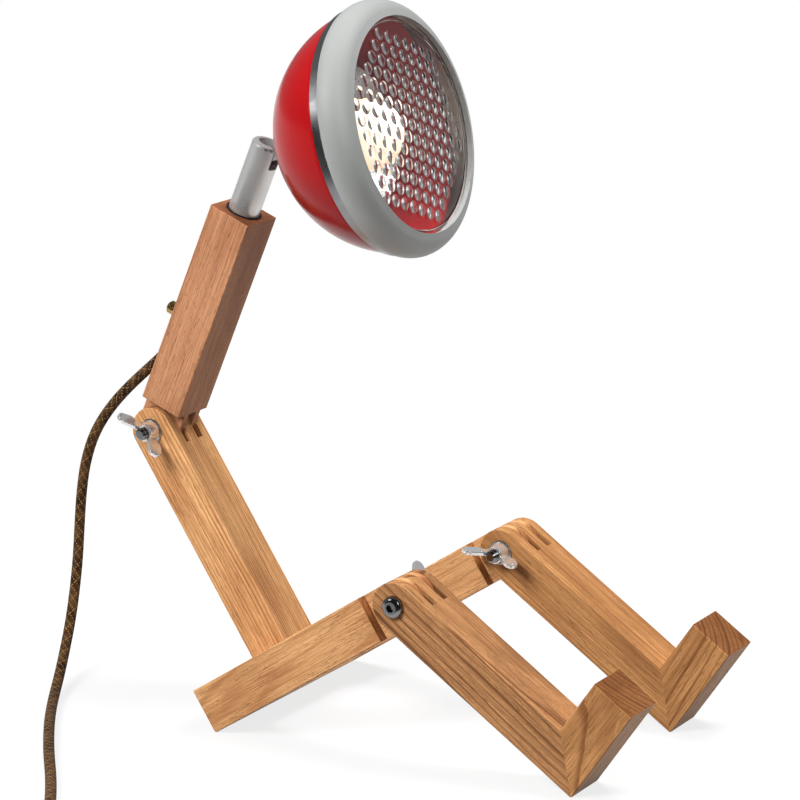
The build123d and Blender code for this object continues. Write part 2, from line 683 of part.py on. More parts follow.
# --- neck ---------------------------------------------------------------------------------
pivot_plane = top_plane.offset(PIVOT_HEIGHT)
with BuildPart() as neck_tube:
    with BuildSketch(top_plane.offset(-NECK_DEPTH - BUSH_PLAY)):
        Circle(NECK_RADIUS)
    extrude(amount=NECK_DEPTH + BUSH_PLAY + NECK_HEIGHT)
    tube_top = neck_tube.faces().sort_by(Axis(block_top, neck_axis))[-1]
    fillet(tube_top.edges(), NECK_TOP_EASE)
    with BuildSketch(top_plane.offset(-NECK_DEPTH - BUSH_PLAY)):
        Circle(NECK_RADIUS + NECK_LIP)
    extrude(amount=-(NECK_LIP_THICKNESS - 2 * BUSH_PLAY))
    with BuildSketch(top_plane.offset(-NECK_DEPTH - NECK_LIP_THICKNESS)):
        Circle(NECK_BORE_RADIUS)
    extrude(amount=NECK_DEPTH + NECK_LIP_THICKNESS + NECK_HEIGHT, mode=Mode.SUBTRACT)
    slot_plane = Plane(
        origin=pivot - neck_axis * SLOT_REACH_DOWN, x_dir=(0, 1, 0), z_dir=front_dir
    )
    with BuildSketch(slot_plane):
        RectangleRounded(
            TONGUE_THICKNESS + 2 * SLOT_PLAY,
            SLOT_REACH_DOWN + NECK_HEIGHT,
            SLOT_EASE,
            align=(Align.CENTER, Align.MIN),
        )
    extrude(amount=2 * NECK_RADIUS, mode=Mode.SUBTRACT)
    with BuildSketch(pivot_plane.offset(KERF_ABOVE_PIVOT)):
        with Locations((KERF_FROM_AXIS, 0)):
            Rectangle(NECK_RADIUS, 3 * NECK_RADIUS, align=(Align.MIN, Align.CENTER))
    extrude(amount=KERF, mode=Mode.SUBTRACT)
    with BuildSketch(side_plane(pivot, upper_angle, -PIVOT_PIN_REACH)):
        Circle(PIVOT_PIN_RADIUS + BOLT_PLAY)
    extrude(amount=-(PIVOT_PIN_REACH + 2 * NECK_RADIUS), mode=Mode.SUBTRACT)
keep(neck_tube, "neck_tube", STEEL)

with BuildPart() as pivot_pin:
    with BuildSketch(side_plane(pivot, upper_angle, BOLT_PLAY - PIVOT_PIN_REACH)):
        Circle(PIVOT_PIN_RADIUS)
    extrude(amount=-(PIVOT_PIN_REACH + NECK_RADIUS - 3 * BOLT_PLAY))
    chamfer(pivot_pin.edges().filter_by(GeomType.CIRCLE), PIVOT_PIN_RADIUS / 8)
keep(pivot_pin, "head_pivot_pin", STEEL)

# --- head ----------------------------------------------------------------------------------
head_plane = side_plane(pivot, HEAD_PITCH)
head_axis = Axis(pivot, polar(HEAD_PITCH))


def head_disc(distance):
    """Plane square to the head's axis, facing forward."""
    return Plane(
        origin=pivot + polar(HEAD_PITCH) * distance, x_dir=(0, 1, 0), z_dir=polar(HEAD_PITCH)
    )


with BuildPart() as head_stem:
    with BuildSketch(head_plane):
        Circle(TONGUE_EYE_RADIUS)
        Rectangle(BOSS_BACK, TONGUE_HEIGHT, align=(Align.MIN, Align.CENTER))
        Circle(PIVOT_PIN_RADIUS + BOLT_PLAY, mode=Mode.SUBTRACT)
    extrude(amount=TONGUE_THICKNESS / 2, both=True)
    with BuildSketch(head_disc(BOSS_BACK)):
        Circle(BOSS_RADIUS)
    extrude(amount=BOSS_FRONT - BOSS_BACK)
    with BuildSketch(head_disc(BOSS_FRONT)):
        Circle(STEM_RADIUS)
    extrude(amount=STEM_END - BOSS_FRONT)
    with BuildSketch(head_disc(STEM_END)):
        Circle(STEM_BORE_RADIUS)
    extrude(amount=-(STEM_END - BOSS_FRONT), mode=Mode.SUBTRACT)
keep(head_stem, "head_stem", STEEL)


def outer_at(distance, radius):
    """Radius of a sphere round the shell's centre, at a distance from the pivot."""
    return (radius**2 - (distance - SHELL_CENTRE) ** 2) ** 0.5


def nose_at(reach, radius):
    """Where a sphere round the shell's centre has a given radius, near the pivot."""
    return SHELL_CENTRE - (radius**2 - reach**2) ** 0.5


with BuildPart() as head_shell:
    with BuildSketch(head_plane):
        inner = SHELL_RADIUS - SHELL_WALL
        hem_back = (HEM_BACK, outer_at(HEM_BACK, SHELL_RADIUS))
        hem_top = (HEM_BACK + HEM_STEP / 2, hem_back[1] + HEM_STEP)
        rim_out = (SHELL_RIM, BAND_RADIUS - BAND_WALL - HEM_PLAY)
        rim_in = (SHELL_RIM, outer_at(SHELL_RIM, inner))
        hole_out = (nose_at(STEM_HOLE_RADIUS, SHELL_RADIUS), STEM_HOLE_RADIUS)
        hole_in = (nose_at(STEM_HOLE_RADIUS, inner), STEM_HOLE_RADIUS)
        with BuildLine():
            RadiusArc(hole_out, hem_back, SHELL_RADIUS)
            Polyline(hem_back, hem_top, rim_out, rim_in)
            RadiusArc(rim_in, hole_in, -inner)
            Line(hole_in, hole_out)
        make_face()
    revolve(axis=head_axis)
keep(head_shell, "head_shell", (0.80, 0.05, 0.05))

with BuildPart() as trim_band:
    with BuildSketch(head_plane):
        with BuildLine():
            Polyline(
                (BAND_BACK, BAND_RADIUS - BAND_WALL),
                (BAND_BACK, BAND_RADIUS),
                (BAND_FLANGE, BAND_RADIUS),
                (BAND_FLANGE, BAND_OPENING),
                (BAND_FLANGE - BAND_WALL, BAND_OPENING),
                (BAND_FLANGE - BAND_WALL, BAND_RADIUS - BAND_WALL),
                close=True,
            )
        make_face()
    revolve(axis=head_axis)
    fillet(trim_band.edges().sort_by(head_axis)[-1:], BAND_WALL * 0.6)
keep(trim_band, "trim_band", STEEL)

# Bezel: barrel-sided ring, rounded into a front face that slopes forward to the opening
with BuildPart() as bezel_ring:
    with BuildSketch(head_plane):
        back_out = (BEZEL_BACK, BEZEL_BACK_RADIUS)
        side_out = (BEZEL_MIDDLE, BEZEL_MIDDLE_RADIUS)
        shoulder_out = (BEZEL_SHOULDER, BEZEL_SHOULDER_RADIUS)
        back_in = (BEZEL_BACK, BAND_RADIUS + LENS_PLAY)
        side_in = (BEZEL_MIDDLE, BEZEL_MIDDLE_RADIUS - BEZEL_WALL)
        corner_in = (BEZEL_LIP_BACK, BEZEL_CORNER_RADIUS)
        with BuildLine():
            side_arc = ThreePointArc(back_out, side_out, shoulder_out)
            front_arc = TangentArc(
                side_arc @ 1, (BEZEL_CREASE, BEZEL_CREASE_RADIUS), tangent=side_arc % 1
            )
            Polyline(
                front_arc @ 1,
                (BEZEL_FRONT, BEZEL_OPENING),
                (BEZEL_LIP_BACK, BEZEL_OPENING),
                corner_in,
            )
            ThreePointArc(corner_in, side_in, back_in)
            Line(back_in, back_out)
        make_face()
    revolve(axis=head_axis)
keep(bezel_ring, "bezel_ring", (0.72, 0.73, 0.72))

# Gasket: channel round the lens, between the band's flange and the bezel's lip
lens_edge_front = BEZEL_LIP_BACK - GASKET_FRONT
lens_edge_back = lens_edge_front - LENS_THICKNESS
with BuildPart() as lens_gasket:
    with BuildSketch(head_plane):
        with Locations((BAND_FLANGE, BAND_OPENING)):
            Rectangle(
                BEZEL_LIP_BACK - BAND_FLANGE,
                LENS_RADIUS + LENS_PLAY + GASKET_WALL - BAND_OPENING,
                align=(Align.MIN, Align.MIN),
            )
        with Locations((lens_edge_back - LENS_PLAY, 0)):
            Rectangle(
                LENS_THICKNESS + 2 * LENS_PLAY,
                LENS_RADIUS + LENS_PLAY,
                align=(Align.MIN, Align.MIN),
                mode=Mode.SUBTRACT,
            )
    revolve(axis=head_axis)
keep(lens_gasket, "lens_gasket", DARK)

# Lens: clear disc, flat where the gasket holds it, gently crowned inside the opening
crown_edge = BEZEL_OPENING - LENS_THICKNESS
crown_radius = (crown_edge**2 + LENS_CROWN**2) / (2 * LENS_CROWN)
crown_half = asin(crown_edge / crown_radius) / 2
crown_way = Vector(LENS_CROWN - crown_radius * (1 - cos(crown_half)), crown_radius * sin(crown_half))
with BuildPart() as front_lens:
    with BuildSketch(head_plane):
        with BuildLine():
            ThreePointArc(
                (lens_edge_back + LENS_CROWN, 0),
                Vector(lens_edge_back, 0) + crown_way,
                (lens_edge_back, crown_edge),
            )
            Polyline(
                (lens_edge_back, crown_edge),
                (lens_edge_back, LENS_RADIUS),
                (lens_edge_front, LENS_RADIUS),
                (lens_edge_front, crown_edge),
            )
            ThreePointArc(
                (lens_edge_front, crown_edge),
                Vector(lens_edge_front, 0) + crown_way,
                (lens_edge_front + LENS_CROWN, 0),
            )
            Line((lens_edge_front + LENS_CROWN, 0), (lens_edge_back + LENS_CROWN, 0))
        make_face()
    revolve(axis=head_axis)
keep(front_lens, "front_lens", (0.85, 0.9, 0.92, 0.4))

# Nut that clamps the shell to the stem
with BuildPart() as stem_nut:
    with BuildSketch(head_disc(STEM_NUT_BACK)):
        RegularPolygon(STEM_NUT_ACROSS / 2, 6, major_radius=False)
        Circle(STEM_RADIUS + BOLT_PLAY, mode=Mode.SUBTRACT)
    extrude(amount=STEM_NUT_FRONT - STEM_NUT_BACK)
keep(stem_nut, "stem_nut", BRASS)

with BuildPart() as lamp_holder:
    with BuildSketch(head_disc(HOLDER_BACK)):
        Circle(HOLDER_RADIUS)
    extrude(amount=HOLDER_FRONT - HOLDER_BACK)
    with BuildSketch(head_disc(HOLDER_SHOULDER - HOLDER_WALL)):
        Circle(HOLDER_SHOULDER_RADIUS)
    extrude(amount=HOLDER_WALL)
    with BuildSketch(head_disc(HOLDER_FLOOR)):
        Circle(BULB_NECK_RADIUS + BULB_FIT)
    extrude(amount=HOLDER_FRONT - HOLDER_FLOOR, mode=Mode.SUBTRACT)
    with BuildSketch(head_disc(HOLDER_BACK)):
        Circle(STEM_RADIUS + BOLT_PLAY)
    extrude(amount=STEM_END - HOLDER_BACK + BOLT_PLAY, mode=Mode.SUBTRACT)
keep(lamp_holder, "lamp_holder", DARK)

with BuildPart() as reflector:
    with BuildSketch(head_plane):
        seat_in = (HOLDER_SHOULDER, HOLDER_RADIUS + BOLT_PLAY)
        seat_out = (HOLDER_SHOULDER, HOLDER_SHOULDER_RADIUS)
        rim = (REFLECTOR_FRONT, REFLECTOR_RADIUS)
        front_shift = Vector(REFLECTOR_WALL, 0)
        with BuildLine():
            floor_line = Line(seat_in, seat_out)
            dish = TangentArc(seat_out, rim, tangent=(0.35, 1))
            rim_line = Line(rim, rim + front_shift)
            dish_front = TangentArc(
                Vector(*seat_out) + front_shift, Vector(*rim) + front_shift, tangent=(0.35, 1)
            )
            Line(Vector(*seat_out) + front_shift, Vector(*seat_in) + front_shift)
            Line(Vector(*seat_in) + front_shift, seat_in)
        make_face()
    revolve(axis=head_axis)
keep(reflector, "reflector", STEEL)

with BuildPart() as holder_ring:
    with BuildSketch(head_disc(HOLDER_SHOULDER + REFLECTOR_WALL)):
        Circle(HOLDER_SHOULDER_RADIUS - HOLDER_WALL / 2)
        Circle(HOLDER_RADIUS + BOLT_PLAY, mode=Mode.SUBTRACT)
    extrude(amount=HOLDER_RING_THICKNESS)
keep(holder_ring, "holder_ring", DARK)

with BuildPart() as bulb_cap:
    with BuildSketch(head_disc(BULB_CAP_BACK)):
        Circle(BULB_CAP_RADIUS)
    extrude(amount=BULB_CAP_FRONT - BULB_CAP_BACK)
    cap_back = bulb_cap.faces().sort_by(head_axis)[0]
    chamfer(cap_back.edges(), BULB_CAP_RADIUS / 4)
keep(bulb_cap, "bulb_cap", BRASS)

with BuildPart() as bulb_globe:
    with BuildSketch(head_plane):
        neck_meets = BULB_CENTRE - (BULB_RADIUS**2 - BULB_NECK_RADIUS**2) ** 0.5
        with BuildLine():
            Polyline(
                (BULB_CENTRE + BULB_RADIUS, 0),
                (BULB_CAP_FRONT, 0),
                (BULB_CAP_FRONT, BULB_NECK_RADIUS),
                (neck_meets, BULB_NECK_RADIUS),
            )
            ThreePointArc(
                (neck_meets, BULB_NECK_RADIUS),
                (BULB_CENTRE, BULB_RADIUS),
                (BULB_CENTRE + BULB_RADIUS, 0),
            )
        make_face()
    revolve(axis=head_axis)
keep(bulb_globe, "bulb_globe", (0.98, 0.93, 0.8))

# --- cord: out of the gland, down behind the torso, along the table to a tied coil ----------
cord_start = cord_exit + cord_dir * CORD_START


def on_route(x, y, z):
    """A point of the cord's route, given from the seat's back corner on the table."""
    return Vector(x + seat_corner.X, y, z)


first_turn = cord_start + cord_dir * 20.0
tube_route = [
    cord_start,
    first_turn,
    on_route(-118.3, 0.0, 193.8),
    on_route(-134.2, 0.0, 177.0),
    on_route(-146.6, -0.5, 158.6),
    on_route(-153.6, -1.5, 137.6),
    on_route(-156.6, -2.5, 116.0),
    on_route(-157.2, -4.5, 94.4),
    on_route(-156.6, -8.0, 73.2),
    on_route(-155.2, -14.5, 53.0),
    on_route(-151.6, -25.5, 34.6),
    on_route(-145.6, -41.5, 19.6),
    on_route(-136.4, -61.5, 9.4),
    on_route(-124.6, -84.5, 4.6),
    on_route(-110.4, -109.0, CORD_RADIUS),
    on_route(-91.0, -139.5, CORD_RADIUS),
    on_route(-63.5, -179.5, CORD_RADIUS),
    on_route(-35.0, -218.0, CORD_RADIUS),
    on_route(-7.5, -258.5, CORD_RADIUS),
    on_route(11.5, -291.5, CORD_RADIUS),
    on_route(30.5, -325.0, CORD_RADIUS + COIL_LIFT / 2),
    on_route(48.5, -357.5, CORD_RADIUS + COIL_LIFT),
]


def bend_radii(route):
    """Radius of each corner's arc: 0.45 of its shorter run over the tangent of half its turn."""
    radii = []
    for before, corner, after in zip(route, route[1:], route[2:]):
        run_in, run_out = corner - before, after - corner
        half_turn = radians(run_in.get_angle(run_out) / 2)
        radii.append(0.45 * min(run_in.length, run_out.length) / tan(half_turn))
    return radii


def cord_length_solid(name, route):
    """Round tube along straight runs that tangent arcs join."""
    radii = bend_radii(route)
    with BuildPart() as tube:
        with BuildLine() as path:
            FilletPolyline(*route, radius=radii)
        with BuildSketch(Plane(origin=path.line @ 0, z_dir=path.line % 0)):
            Circle(CORD_RADIUS)
        sweep()
    keep(tube, name, (0.20, 0.12, 0.07))
    reach = tube.part.volume / (pi * CORD_RADIUS**2)
    print(f"{name}: length {path.wire().length:.1f}, volume over section {reach:.1f}")
    print(f"{name}: radii {[round(r, 1) for r in radii]}")


cord_length_solid("cord_tube", tube_route)

# Coil: its outer shape as one ring; the cord arrives on its outer turn and leaves at its near side
coil_band = COIL_ROWS * CORD_RADIUS
outer_turn = COIL_MIDDLE_RADIUS + (COIL_ROWS - 1) * CORD_RADIUS
arrive_dir = (tube_route[-1] - tube_route[-2]).normalized()
to_centre = Vector(-arrive_dir.Y, arrive_dir.X, 0).normalized()
coil_centre = tube_route[-1] + to_centre * outer_turn
coil_height = COIL_LAYERS * 2 * CORD_RADIUS
coil_plane = Plane(origin=(coil_centre.X, coil_centre.Y, COIL_LIFT))
with BuildPart() as cord_coil:
    with BuildSketch(coil_plane):
        Circle(COIL_MIDDLE_RADIUS + coil_band)
        Circle(COIL_MIDDLE_RADIUS - coil_band, mode=Mode.SUBTRACT)
    extrude(amount=coil_height)
    fillet(cord_coil.edges().filter_by(GeomType.CIRCLE), COIL_EASE)
keep(cord_coil, "cord_coil", (0.20, 0.12, 0.07))
print(f"coil centre x {coil_centre.X:.2f} y {coil_centre.Y:.2f}")

# Tie: flat strap round the coil's turns, on the side away from the plug
tie_plane = Plane(
    origin=(coil_centre.X, coil_centre.Y + COIL_MIDDLE_RADIUS, COIL_LIFT + coil_height / 2),
    x_dir=(0, 1, 0),
    z_dir=(1, 0, 0),
)
with BuildPart() as coil_tie:
    with BuildSketch(tie_plane):
        RectangleRounded(
            2 * (coil_band + TIE_PLAY + COIL_LIFT), coil_height + 2 * COIL_LIFT, COIL_EASE + COIL_LIFT
        )
        RectangleRounded(
            2 * (coil_band + TIE_PLAY), coil_height, COIL_EASE, mode=Mode.SUBTRACT
        )
    extrude(amount=TIE_WIDTH / 2, both=True)
keep(coil_tie, "coil_tie", DARK)

# Tail: the cord from the coil's near side to the plug, which lies flat on the table
plug_axis_height = PLUG_THICKNESS / 2
leave = Vector(coil_centre.X, coil_centre.Y - outer_turn, COIL_LIFT + coil_height - CORD_RADIUS)
tail_route = [
    leave,
    leave + Vector(21, 0, 0),
    leave + Vector(42, 1.4, -1.6),
    Vector(leave.X + 62, leave.Y + 5.0, plug_axis_height),
    Vector(leave.X + 81, leave.Y + 10.6, plug_axis_height),
]
cord_length_solid("cord_tail", tail_route)

# Plug: flat plug with two round pins and a tapered cord sleeve
plug_dir = (tail_route[-1] - tail_route[-2]).normalized()
neck_plane = Plane(origin=tail_route[-1], x_dir=(0, 0, 1), z_dir=plug_dir)
grip_plane = neck_plane.offset(PLUG_SLEEVE_LENGTH)
widest_plane = grip_plane.offset(PLUG_LENGTH / 2)
face_plane = grip_plane.offset(PLUG_LENGTH)
with BuildPart() as plug_body:
    with BuildSketch(neck_plane):
        Circle(PLUG_SLEEVE_RADIUS)
    with BuildSketch(grip_plane):
        RectangleRounded(PLUG_GRIP_THICKNESS, PLUG_GRIP_WIDTH, PLUG_GRIP_THICKNESS / 3)
    loft()
    with BuildSketch(grip_plane):
        RectangleRounded(PLUG_GRIP_THICKNESS, PLUG_GRIP_WIDTH, PLUG_GRIP_THICKNESS / 3)
    with BuildSketch(widest_plane):
        RectangleRounded(PLUG_THICKNESS, PLUG_WIDTH, PLUG_THICKNESS / 3)
    loft()
    with BuildSketch(widest_plane):
        RectangleRounded(PLUG_THICKNESS, PLUG_WIDTH, PLUG_THICKNESS / 3)
    extrude(amount=PLUG_LENGTH / 2)
    with BuildSketch(face_plane):
        with GridLocations(1, PIN_PITCH, 1, 2):
            Circle(PIN_ROOT_RADIUS)
    extrude(amount=-PIN_SEAT, mode=Mode.SUBTRACT)
keep(plug_body, "plug_body", DARK)

with BuildPart() as plug_pins:
    with BuildSketch(face_plane.offset(-PIN_SEAT)):
        with GridLocations(1, PIN_PITCH, 1, 2):
            Circle(PIN_ROOT_RADIUS)
    extrude(amount=PIN_SEAT)
    with BuildSketch(face_plane):
        with GridLocations(1, PIN_PITCH, 1, 2):
            Circle(PIN_RADIUS)
    extrude(amount=PIN_LENGTH)
    pin_ends = plug_pins.faces().filter_by(
        lambda f: (f.center() - face_plane.origin).dot(plug_dir) > PIN_LENGTH * 0.9
    )
    chamfer(pin_ends.edges(), PIN_END_EASE)
keep(plug_pins, "plug_pins", BRASS)
pin_middle = face_plane.origin + plug_dir * ((PIN_LENGTH - PIN_END_EASE) / 2)
print(f"plug direction {plug_dir.X:.4f} {plug_dir.Y:.4f}, middle of the pins {pin_middle}")

whole = Compound(children=made)
box = whole.bounding_box()
print(f"{len(made)} pieces, box {box.min} to {box.max}")
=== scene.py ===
import json
from math import cos, radians, sin, sqrt, tau

import bpy
from mathutils import Matrix, Vector
from mathutils.geometry import delaunay_2d_cdt


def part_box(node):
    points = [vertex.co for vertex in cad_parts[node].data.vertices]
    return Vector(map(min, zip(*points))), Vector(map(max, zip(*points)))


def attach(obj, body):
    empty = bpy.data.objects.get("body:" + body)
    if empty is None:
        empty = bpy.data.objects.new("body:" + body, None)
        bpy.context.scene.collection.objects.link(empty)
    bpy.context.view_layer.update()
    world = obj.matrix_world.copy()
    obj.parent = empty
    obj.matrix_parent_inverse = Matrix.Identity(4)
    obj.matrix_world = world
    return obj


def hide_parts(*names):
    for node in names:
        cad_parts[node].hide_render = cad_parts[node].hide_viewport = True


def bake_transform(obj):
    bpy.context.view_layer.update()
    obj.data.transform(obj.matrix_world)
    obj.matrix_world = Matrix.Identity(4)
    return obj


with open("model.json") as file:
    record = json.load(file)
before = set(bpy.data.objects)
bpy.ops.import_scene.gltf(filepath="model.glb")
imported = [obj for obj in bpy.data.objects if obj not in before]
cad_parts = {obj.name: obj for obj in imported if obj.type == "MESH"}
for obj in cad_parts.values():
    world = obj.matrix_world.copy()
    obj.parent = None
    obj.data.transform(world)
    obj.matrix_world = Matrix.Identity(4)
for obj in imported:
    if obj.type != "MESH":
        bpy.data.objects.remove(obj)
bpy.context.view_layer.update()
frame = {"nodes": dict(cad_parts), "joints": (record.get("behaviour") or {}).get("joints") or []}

# Desk lamp shaped like a seated figure. Metres, +Z up, the figure faces +X and its left is +Y.
MM = 0.001
NODES = frame["nodes"]
JOINTS = {joint["name"]: joint for joint in frame["joints"]}


def polar(angle):
    """Unit vector in the plane that the joints fold in, counted up from forward."""
    return Vector((cos(radians(angle)), 0, sin(radians(angle))))


SEAT_ANGLE = 33.0
TORSO_ANGLE = 123.0
LEG_ANGLE = -34.53
UPPER_ANGLE = 67.4
HEAD_PITCH = 15.0
KNEE = Vector(JOINTS["left_knee"]["pos_m"]) * Vector((1, 0, 1))
ELBOW = Vector(JOINTS["elbow"]["pos_m"])
PIVOT = Vector(JOINTS["head_tilt"]["pos_m"])
LEG_SIDE = 70 * MM  # from the middle plane to the middle of a leg
SIDEWAYS = Vector((0, 1, 0))
HALF_DEPTH = 15 * MM
THIGH_LENGTH = 164 * MM
FOOT_ALONG = 143 * MM  # down the shin, from the knee to the foot block
SEAT_CORNER = KNEE - polar(SEAT_ANGLE) * THIGH_LENGTH - polar(TORSO_ANGLE) * HALF_DEPTH

# --- camera ---------------------------------------------------------------------------------
VIEW_TARGET = Vector((-0.0075, 0, 0.2074))
VIEW_AZIMUTH = radians(29.23)
VIEW_ELEVATION = radians(13.26)
VIEW_DISTANCE = 2.249
CAMERA_LENS = 161.16
CAMERA_SENSOR = 36
TOWARDS_CAMERA = Vector((
    sin(VIEW_AZIMUTH) * cos(VIEW_ELEVATION),
    -cos(VIEW_AZIMUTH) * cos(VIEW_ELEVATION),
    sin(VIEW_ELEVATION),
))


def place_camera():
    """The photograph's viewpoint."""
    camera = bpy.data.objects.new("camera", bpy.data.cameras.new("camera"))
    camera.data.sensor_width = CAMERA_SENSOR
    camera.data.lens = CAMERA_LENS
    camera.location = VIEW_TARGET + TOWARDS_CAMERA * VIEW_DISTANCE
    camera.rotation_euler = TOWARDS_CAMERA.to_track_quat("Z", "Y").to_euler()
    bpy.context.scene.collection.objects.link(camera)
    bpy.context.scene.camera = camera


place_camera()
bpy.context.scene.view_settings.view_transform = "Standard"


# --- meshes ---------------------------------------------------------------------------------
def mesh_object(name, points, faces, smooth_below=40):
    """A linked mesh object with smooth faces and sharp edges where it turns by more."""
    mesh = bpy.data.meshes.new(name)
    mesh.from_pydata([tuple(p) for p in points], [], faces)
    mesh.validate()
    mesh.shade_smooth()
    mesh.set_sharp_from_angle(angle=radians(smooth_below))
    made = bpy.data.objects.new(name, mesh)
    bpy.context.scene.collection.objects.link(made)
    return made


def eased(value, start, end):
    """0 before start, 1 after end, and a smooth step between."""
    share = min(max((value - start) / (end - start), 0), 1)
    return share * share * (3 - 2 * share)


# --- cord -----------------------------------------------------------------------------------
CORD_RADIUS = 3.5 * MM
CORD_FACE_ANGLE = 24
CORD_ALONG = 52 * MM  # up the upper torso from the elbow
CORD_START = -9 * MM  # inside the gland
CORD_SIDES = 16
CORD_FINENESS = 8  # mesh rings for each control point
COIL_MIDDLE = 35 * MM
COIL_FLOOR = 1 * MM
COIL_ARRIVE = 209  # degrees round the coil, counted from +X
COIL_SHIFT = 409  # degrees, where the turns first move in by one row
ROWS_IN = (0, 360)  # where each move to a row further in starts, in degrees past that
LAYER_UP = 660
ROWS_OUT = (930, 1290)
ROW_MOVE = 90  # degrees that a move to the next row takes
LAYER_MOVE = 60
COIL_LEAVE = 2070
COIL_STEP = 20  # degrees from one control point to the next

neck_axis = polar(UPPER_ANGLE)
back_dir = polar(UPPER_ANGLE + 90)
cord_dir = -neck_axis * cos(radians(CORD_FACE_ANGLE)) + back_dir * sin(radians(CORD_FACE_ANGLE))
cord_start = ELBOW + neck_axis * CORD_ALONG + back_dir * HALF_DEPTH + cord_dir * CORD_START


def on_route(x, y, z):
    """A point of the cord's route, in millimetres from the seat's back corner on the table."""
    return Vector((SEAT_CORNER.x + x * MM, y * MM, z * MM))


route_down = [
    cord_start,
    cord_start + cord_dir * 20 * MM,
    on_route(-118.3, 0.0, 193.8),
    on_route(-134.2, 0.0, 177.0),
    on_route(-146.6, -0.5, 158.6),
    on_route(-153.6, -1.5, 137.6),
    on_route(-156.6, -2.5, 116.0),
    on_route(-157.2, -4.5, 94.4),
    on_route(-156.6, -8.0, 73.2),
    on_route(-155.2, -14.5, 53.0),
    on_route(-151.6, -25.5, 34.6),
    on_route(-145.6, -41.5, 19.6),
    on_route(-136.4, -61.5, 9.4),
    on_route(-124.6, -84.5, 4.6),
    on_route(-110.4, -109.0, 3.5),
    on_route(-91.0, -139.5, 3.5),
    on_route(-63.5, -179.5, 3.5),
    on_route(-35.0, -218.0, 3.5),
    on_route(-7.5, -258.5, 3.5),
    on_route(11.5, -291.5, 3.5),
    on_route(30.5, -325.0, 4.0),
    on_route(48.5, -357.5, 4.5),
]
coil_centre = (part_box("cord_coil")[0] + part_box("cord_coil")[1]) / 2


def coil_moves(angle, starts, length):
    """How many of the moves that begin at starts have been made at this angle."""
    return sum(eased(angle - COIL_SHIFT, start, start + length) for start in starts)


def coil_point(angle):
    """Middle of the cord in the coil: three rows in, up to the second layer, three rows out."""
    rows_in = coil_moves(angle, ROWS_IN, ROW_MOVE)
    rows_out = coil_moves(angle, ROWS_OUT, ROW_MOVE)
    layer = coil_moves(angle, (LAYER_UP,), LAYER_MOVE)
    radius = COIL_MIDDLE + 2 * CORD_RADIUS * (1 - rows_in + rows_out)
    radius /= cos(radians(COIL_STEP / 2))  # the spline runs inside its control points
    return Vector((
        coil_centre.x + radius * cos(radians(angle)),
        coil_centre.y + radius * sin(radians(angle)),
        COIL_FLOOR + CORD_RADIUS * (1 + 2 * layer),
    ))


route_coil = [
    coil_point(angle)
    for angle in range(COIL_ARRIVE + COIL_STEP, COIL_LEAVE, COIL_STEP)
]
coil_end = Vector((coil_centre.x, coil_centre.y - COIL_MIDDLE - 2 * CORD_RADIUS, 0))
route_tail = [
    coil_end + Vector((0, 0, 11.5)) * MM,
    coil_end + Vector((21, 0, 11.5)) * MM,
    coil_end + Vector((42, 1.4, 9.9)) * MM,
    coil_end + Vector((62, 5, 6.85)) * MM,
    coil_end + Vector((81, 10.6, 6.85)) * MM,
]


def cord_line(route):
    """Points along one smooth NURBS spline that has the route as its control points."""
    data = bpy.data.curves.new("cord_route", "CURVE")
    data.dimensions = "3D"
    spline = data.splines.new("NURBS")
    spline.points.add(len(route) - 1)
    for point, place in zip(spline.points, route):
        point.co = (*place, 1)
    spline.order_u = 3
    spline.use_endpoint_u = True
    spline.resolution_u = CORD_FINENESS
    holder = bpy.data.objects.new("cord_route", data)
    bpy.context.scene.collection.objects.link(holder)
    bpy.context.view_layer.update()
    mesh = bpy.data.meshes.new_from_object(holder)
    line = [vertex.co.copy() for vertex in mesh.vertices]
    bpy.data.objects.remove(holder)
    bpy.data.meshes.remove(mesh)
    return line


def tube(name, line, radius, sides):
    """A round tube along a line, with a map that runs round it and along it."""
    points, faces, along = [], [], [0.0]
    side = SIDEWAYS.copy()
    for i, place in enumerate(line):
        heading = (line[min(i + 1, len(line) - 1)] - line[max(i - 1, 0)]).normalized()
        side = (side - heading * side.dot(heading)).normalized()
        up = heading.cross(side)
        for k in range(sides):
            turn = tau * k / sides
            points.append(place + (side * cos(turn) + up * sin(turn)) * radius)
        if i:
            along.append(along[-1] + (place - line[i - 1]).length)
    for i in range(len(line) - 1):
        for k in range(sides):
            a, b = i * sides + k, i * sides + (k + 1) % sides
            faces.append((a, b, b + sides, a + sides))
    faces.append(tuple(reversed(range(sides))))
    faces.append(tuple(range((len(line) - 1) * sides, len(line) * sides)))
    made = mesh_object(name, points, faces, smooth_below=60)
    around = tau * radius
    layer = made.data.uv_layers.new(name="braid")
    for polygon in made.data.polygons[:-2]:
        ring, k = divmod(polygon.index, sides)
        corners = ((k, ring), (k + 1, ring), (k + 1, ring + 1), (k, ring + 1))
        for loop, (u, v) in zip(polygon.loop_indices, corners):
            layer.data[loop].uv = (u / sides, along[v] / around)
    return made


cord_path = cord_line(route_down + route_coil + route_tail)
cord = tube("power_cord", cord_path, CORD_RADIUS, CORD_SIDES)
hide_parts("cord_tube", "cord_coil", "cord_tail")
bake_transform(cord)


